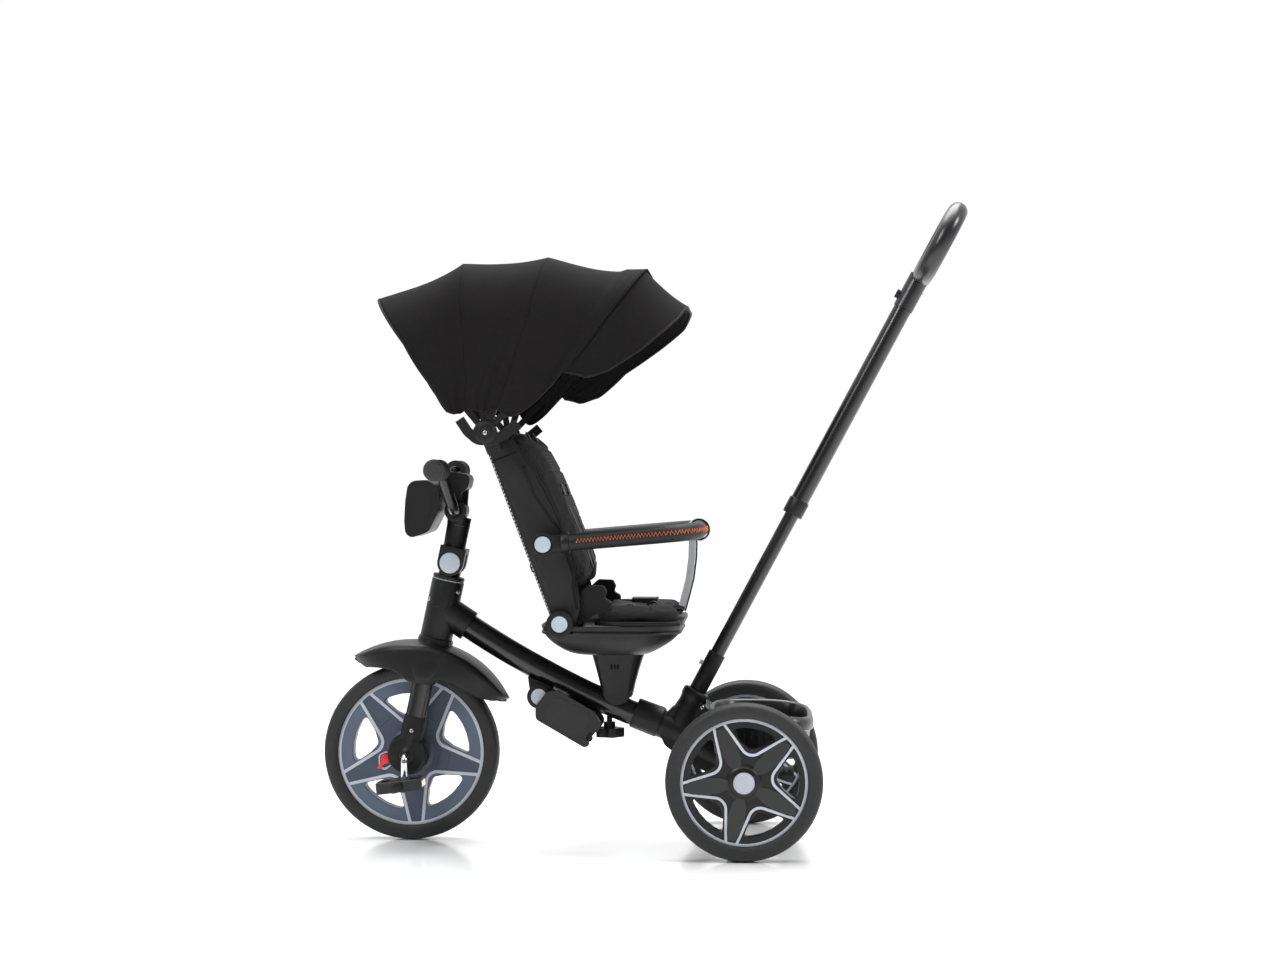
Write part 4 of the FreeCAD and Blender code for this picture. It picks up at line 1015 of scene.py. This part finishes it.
backEdge = [(29, 284), (36, 256), (43.5, 226), (48.5, 188), (52, 150), (52.5, 122), (48, 106), (44, 92),
            (42, 50), (39, 22)]
for word, side in sides:
    backRope("back_piping_" + word, sideLine(backEdge, side * 126, 30), 2.3)
    backRope("back_band_" + word, sideLine([(-9, 262), (30, 262)], side * 128.4, 4), 1.3)
    stitches = join(*[rope([(-9.5, side * 128.3, z), (-9.5, side * 128.3, z + 3.4)], 0.55, 6)
                      for z in range(4, 282, 6)])
    finishPiece("back_stitches_" + word, stitches, "strap", "backrest", backPlace)
topPiping = roundCorners([(29, -126, 284), (29.5, -118, 293), (29.5, 118, 293), (29, 126, 284)], 8,
                         closed=False)
backRope("back_piping_top", topPiping, 2.3)
seatLine = [(-44, 341.5), (-20, 339.5), (30, 339.5), (62, 341.5)]
for word, side in sides:
    finishPiece("seat_piping_" + word, rope(sideLine(seatLine, side * 143.5, 12, 4), 2.2, 10), "piping", "seat")


# harness: webbing down the back, buckles and side loops
def strapTurn(twist, v):
    # the lower end of a strap turned about Z, easing out upwards
    return Matrix.Rotation(twist * min(1.0, max(0.0, 5 * (0.62 - v))), 3, "Z")


def webbing(name, points, width, body, place=None, across=(0, 1, 0), thick=1.6, finish="webbing", twist=0.0):
    across = Vector(across) * width / 2
    points = [Vector(point) for point in points]

    def onWebbing(u, v):
        run = v * (len(points) - 1)
        index = min(int(run), len(points) - 2)
        return points[index].lerp(points[index + 1], run - index) + strapTurn(twist, v) @ across * (2 * u - 1)

    band = gridSheet(3 * (len(points) - 1), 6, onWebbing)
    return finishPiece(name, band, finish, body, place, thick=thick, sharp=60)


def buckle(name, place, body, wide, high, thick=5):
    # a plastic slide buckle lying in local XY
    outline = rounded(oblong(wide, high), 5, 4)
    slots = [oblong(wide * 0.7, 1.6, 0, y) for y in (-high * 0.5, high * 0.5)]
    finishPiece(name, slab(outline, 0, thick, slots), "shell", body, place, bevel=1.2, segments=3)


belt = {"width": 22}
for word, side in sides:
    run = roundCorners([(46, side * 48, 289), (57, side * 48, 236), (64, side * 46, 200), (67.5, side * 42, 140),
                        (68, side * 34, 96), (66, side * 24, 60)], 20, 4, closed=False)
    webbing("shoulder_belt_" + word, run, belt["width"], "backrest", backPlace)
    buckle("belt_slide_" + word, backPlace @ at(64.5, side * 45, 188) @ turned(90, "Y"),
           "backrest", 9, 15)
    lap = roundCorners([(-66, side * 122, 346), (-50, side * 112, 358), (-24, side * 60, 366),
                        (-6, side * 22, 367)], 16, 5, closed=False)
    webbing("lap_belt_" + word, lap, belt["width"], "seat", across=(0.9, 0.43 * -side, 0))
buckle("belt_buckle", at(4, 0, 366), "seat", 20, 22, 8)
for name, x, y, high in (("belt_loop_near", 19, -70, 11), ("belt_loop_far", -14, -84, 7)):
    loop = [(x + 10 * math.cos(math.radians(turn)), y, 361 + high * abs(math.sin(math.radians(turn))))
            for turn in range(0, 181, 20)]
    webbing(name, loop, 9, "seat", thick=1.2, across=(0.25, 0.97, 0))
    clip = slab(oblong(5, 7), 0, 3, [oblong(3, 4)])
    finishPiece(name + "_clip", clip, "chrome", "seat", at(x - 11, y, 360.5), bevel=0.6)


def ruffleAt(u, v):
    # gathered cloth at the foot of the crotch strap
    across = (v - 0.5) * 104
    fold = 2.6 * math.sin(v * 46) * (1 - abs(2 * v - 1)) + 1.4 * math.sin(u * 9 + v * 15)
    lift = 11 * math.sin(min(1.0, u * 1.15) * math.pi * 0.62)
    return Vector((28 + 36 * u + 1.5 * math.sin(v * 23), across - 20, 349 + lift + fold))


finishPiece("seat_ruffle", gridSheet(90, 24, ruffleAt), "seat", "seat", thick=2.0, sharp=70)
hipShape = [(-88, 343), (-50, 343), (-40, 352), (-41, 372), (-52, 378), (-48, 386), (-53, 396), (-76, 397),
            (-86, 388)]
for word, side in sides:
    hip = sideSlab(hipShape, 12, 5, 4)
    pad = finishPiece("hip_pad_" + word, hip, "mesh", "seat", at(0, side * 106, 0), bevel=3.5, segments=4)
    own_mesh(pad)
linerEdge = [(-171, 576), (-155.5, 532.7), (-133.8, 501.4), (-112, 476.5), (-95.5, 433), (-97, 396),
             (-91, 362)]
for word, side in sides:
    edge = sideLine(linerEdge, side * 127.4, 30)
    finishPiece("back_edge_" + word, rope(edge, 2.4, 12), "piping", "backrest")
linerRing = rounded(oblong(66.5, 142, -0.5), 42, 8)
finishPiece("seat_liner", slab(linerRing, 337.6, 344), "liner", "seat", bevel=2.6, segments=4)
rimLine = roundCorners([(-146, -143.5, 326), (60, -143.5, 326), (60, 143.5, 326), (-146, 143.5, 326)], 66, 12)
finishPiece("seat_lip", rope(rimLine, 3.0, 12, closed=True), "shell", "seat")
backTag = slab(oblong(6, 15), 0, 7)
finishPiece("back_tag", backTag, "shell", "backrest",
            backPlace @ at(-11.5, -62, 92) @ turned(-90, "Y"), bevel=2, segments=3)
print("seat ready")


# bumper bar
softened("bumper_sockets", "shell", 1.5, 3)
barLine = roundCorners([(28, -148, 0), (228, -148, 0), (228, 148, 0), (28, 148, 0)], 62, 14, closed=False)


def alongLine(points, pitch):
    # even steps along a line: (point, direction) pairs
    points = [Vector(point) for point in points]
    result, due, passed = [], 0.0, 0.0
    for first, second in zip(points, points[1:]):
        run = (second - first).length
        while run > 0 and due <= passed + run:
            result.append((first.lerp(second, (due - passed) / run), (second - first).normalized()))
            due += pitch
        passed += run
    return result


bar = rope([place for place, _ in alongLine(barLine, 6)], 13.3, 28)
finishPiece("bumper_cover", bar, "leather", "bumper", bumperPlace, replaces=("bumper_bar",),
            slot="bumper_leather")
lacing = []
for index, (place, run) in enumerate(alongLine(barLine, 2.5)[9:-9]):
    outward = Vector((run.y, -run.x, 0))
    lift = math.radians((12 if index % 2 else -12) + 6)
    lacing.append(place + (outward * math.cos(lift) + Vector((0, 0, 1)) * math.sin(lift)) * 13.9)
finishPiece("bumper_lacing", rope(lacing, 0.75, 8), "thread", "bumper", bumperPlace)
seamLine = [place + Vector((run.y, -run.x, 0)) * 13.2 for place, run in alongLine(barLine, 5)[3:-3]]
finishPiece("bumper_seam", rope(seamLine, 0.7, 8), "piping", "bumper", bumperPlace)
onBothSides("bumper_cuff", lambda: ringShape(15.2, 13.0, 0, 12, 1.2, 48), "shell", "bumper", bumperPlace,
            lambda side: at(27, side * 148) @ turned(90, "Y"))

strapTwist = 0.36
strapRun = [(60.5, 354), (67, 378), (73.5, 404), (77.5, 436), (78, 460), (76, 468)]
strapLine = sideLine(strapRun, 0, 14, 3)
for angle in range(225, -126, -15):                              # once round the bar
    x, z = polar(15.6, angle)
    strapLine.append(Vector((87 + x, 0, 478.7 + z)))
strap = webbing("crotch_strap_cloth", strapLine, 32, "bumper", finish="strap", thick=2.2, twist=strapTwist)
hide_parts("crotch_strap")
edges = []
for side in (-1, 1):
    line = []
    for index, point in enumerate(strapLine):
        line.append(point + strapTurn(strapTwist, index / (len(strapLine) - 1)) @ Vector((0, side * 16, 0)))
    edges.append(rope(line, 1.3, 8))
strapEdges = finishPiece("crotch_strap_piping", join(*edges), "piping", "bumper")
for piece in (strap, strapEdges):
    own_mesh(piece)
print("bumper ready")


# canopy
canopy = {"half": 166.2, "lift": 6.8, "corner": 90, "hem": 5.0, "cloth": 1.2,
          "farFoot": 107, "nearFoot": 147, "brim": 352,
          "sagBend": 1.25, "legs": 0.45}
bows = {"rear": (130, 259, 64), "back": (99.4, 253, 45), "top": (72, 272, 40), "front": (46.3, 330, 145)}
swings = {                                                       # (distance from the hub, angle) down each side
    "rear": [(64, 151), (90, 142.5), (114, 138.3), (178, 132.5), (266, 130)],
    "back": [(45, 126), (81, 110.2), (138.5, 103.3), (260, 99.4)],
    "top": [(40, 66), (116, 69.3), (279, 72)],
    "front": [(145, 37.6), (240, 43.2), (337, 46.3)],
}
hems = {"canopy_panel_front": (0.30, -25), "canopy_panel_middle": (0.5, -3), "canopy_panel_rear": (0.4, -4)}
nearBrim = [(147, 37.6), (171, 28.6), (202, 26.9), (262, 28.2), (330, 31), (354, 33)]
farBrim = [(107, 34.2), (127, 24.8), (159, 23.7), (212, 28.4), (330, 31), (354, 33)]


def archAt(u, reach, foot, half):
    # (across, out) on an arch from one foot over the top to the other
    corner = canopy["corner"]
    leg, arc, top = reach - corner - foot, corner * math.pi / 2, 2 * (half - corner)
    total = 2 * leg + 2 * arc + top
    run = abs(u - 0.5) * total
    side = -1 if u < 0.5 else 1
    if run < top / 2:
        return side * run, reach
    run -= top / 2
    if run < arc:
        turn = run / corner
        return side * (half - corner + corner * math.sin(turn)), reach - corner + corner * math.cos(turn)
    return side * half, reach - corner - (run - arc)


def bowPoint(name, u):
    angle, reach, foot = bows[name]
    if name == "front" and u > 0.5:
        foot = canopy["farFoot"]                                     # the far flap hangs lower
    across, out = archAt(u, reach + canopy["lift"], foot, canopy["half"])
    x, z = polar(out, tableAt(swings[name], out))
    return Vector((x, across, z))


def bowEdge(name):
    return lambda u: bowPoint(name, u)


def brimPoint(u):
    # the free edge of the visor
    across, out = archAt(u, canopy["brim"], canopy["nearFoot" if u < 0.5 else "farFoot"], canopy["half"] - 1)
    x, z = polar(out, tableAt(nearBrim if u < 0.5 else farBrim, out))
    return Vector((x, across, z))


def ripple(place, size, seed):
    return noise.noise(place / size + Vector((seed, 0, 0)))


surfaces = {}


def makePanel(name, first, second, sag, pulls, node, seed):
    # cloth between two bows, sagging between them and pulled into soft creases at its feet
    def onPanel(u, v):
        start, end = first(u), second(u)
        place = start.lerp(end, v)
        bend = v ** canopy["sagBend"]
        dip = sag * 4 * bend * (1 - bend)
        inward = Vector((-place.x, -place.y * 0.9, -place.z)).normalized()
        legs = max(0.0, abs(2 * u - 1) - canopy["legs"]) / (1 - canopy["legs"])
        crease = math.sin((v * 3.1 + ripple(place, 90, seed)) * math.pi * 2) * pulls * legs
        soft = ripple(place, 55, seed + 5) * 1.2 + ripple(place, 22, seed + 9) * 0.35
        if name == "canopy_panel_front":
            dip -= canopy["hem"] * min(1, max(0, v - 0.77) / 0.025)
        low, drop = hems.get(name, (0.5, 0))
        place.z += drop * legs ** 4 * math.sin(math.pi / 2 * min(v / low, (1 - v) / (1 - low)))
        return place + inward * (dip * (0.55 + 0.45 * (1 - legs)) + (crease + soft) * 4 * v * (1 - v))

    surfaces[name] = onPanel
    steps = 40
    across = sum((first((i + 1) / steps) - first(i / steps)).length for i in range(steps)) * mm
    along = sum((first(i / steps) - second(i / steps)).length for i in range(steps + 1)) / (steps + 1) * mm
    bm = gridSheet(22, 150, onPanel, (across, along))
    face = min(bm.faces, key=lambda item: item.calc_center_median().y ** 2)
    if face.normal.dot(face.calc_center_median()) < 0:
        bmesh.ops.reverse_faces(bm, faces=bm.faces)
    piece = newPiece(name, bm, "canopy", hubPlace)
    wallOf(piece, canopy["cloth"])
    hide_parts(node)
    return piece, across, along


def clothSize(piece, across, along):
    # flat size and area of the sheet
    area = sum(face.area for face in piece.data.polygons)
    return {"flat": (across, max(along, area / across * 1.02)), "held": "stretched", "area": area}


bowNodes = ["rear_bow", "back_rib", "top_rib", "front_bow"]
panels = (
    ("canopy_panel_rear", "rear", "back", 6, 1.6, "canopy_rear", ("backrest", "canopy_back")),
    ("canopy_panel_middle", "back", "top", 5, 1.6, "canopy_middle", ("canopy_back", "canopy_top")),
    ("canopy_panel_front", "top", "front", 8, 1.2, "canopy_front", ("canopy_top", "canopy_brim")),
)
for seed, (name, low, high, sag, pulls, node, bodies) in enumerate(panels):
    piece, across, along = makePanel(name, bowEdge(low), bowEdge(high), sag, pulls, node, seed)
    start = hubPlace @ bowPoint(low, 0.5) * mm
    end = hubPlace @ bowPoint(high, 0.5) * mm
    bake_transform(piece)
    clothSize(piece, across, along)
visor, across, along = makePanel("canopy_brim_cloth", bowEdge("front"), brimPoint, 3, 0.8, "canopy_visor", 9)
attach(visor, "canopy_brim")
clothSize(visor, across, along)


def canopyLine(name, pointAt, radius, body):
    points = [pointAt(index / 120) for index in range(121)]
    finishPiece(name, rope(points, radius, 8), "piping", body, hubPlace)


for name, bow, radius, body in (("rear_hem", "rear", 2.0, "backrest"), ("back_seam", "back", 0.9, "canopy_back"),
                                ("top_seam", "top", 0.9, "canopy_top"),
                                ("front_seam", "front", 1.3, "canopy_brim")):
    canopyLine(name, bowEdge(bow), radius, body)
canopyLine("brim_hem", brimPoint, 2.0, "canopy_brim")
for name, panel, v, radius, body in (("rear_stitching", "canopy_panel_rear", 0.07, 0.6, "backrest"),
                                     ("front_stitching", "canopy_panel_front", 0.87, 1.3, "canopy_brim"),
                                     ("brim_stitching", "canopy_brim_cloth", 0.92, 0.6, "canopy_brim")):
    canopyLine(name, lambda u: surfaces[panel](u, v), radius, body)
for name, body in (("canopy_panel_rear", "canopy_back"), ("canopy_panel_middle", "canopy_top"),
                   ("canopy_panel_front", "canopy_top")):
    for word, u in (("left", 0.0), ("right", 1.0)):
        points = [surfaces[name](u, v / 24) for v in range(0, 22 if name.endswith("front") else 25)]
        finishPiece(name + "_foot_" + word, rope(points, 1.3, 8), "piping", body, hubPlace)
repaint("tube", *bowNodes)

bracket = {"thick": 2.4, "width": 15, "out": 167.5, "screw": 171.6,
           "line": [(-38, 20), (-26, 2), (-11, -11), (12, -11), (31, -1), (49, 14)]}
hubCap = [(0, 172), (5, 172), (6, 171.2), (13.5, 171.2), (14.6, 170.8), (15.4, 169.8), (15.8, 168.6), (18, 168.2),
          (18, 164)]
arms = roundCorners(bracket["line"], 16, 4, closed=False)
onBothSides("hub_bracket", lambda: moved(stripe(arms, bracket["width"], 0, bracket["thick"]), facing), "shell",
            "backrest", hubPlace,
            lambda side: at(0, side * bracket["out"] + (bracket["thick"] if side > 0 else 0)), bevel=0.8)
onBothSides("hub_cap", lambda: lathe(hubCap, 48), "shell", "backrest", hubPlace, alongY)
for word, side in sides:
    screw("hub_screw_" + word, hubPlace @ at(0, side * bracket["screw"]) @ alongY(side), "backrest", 3.4)
print("canopy ready")
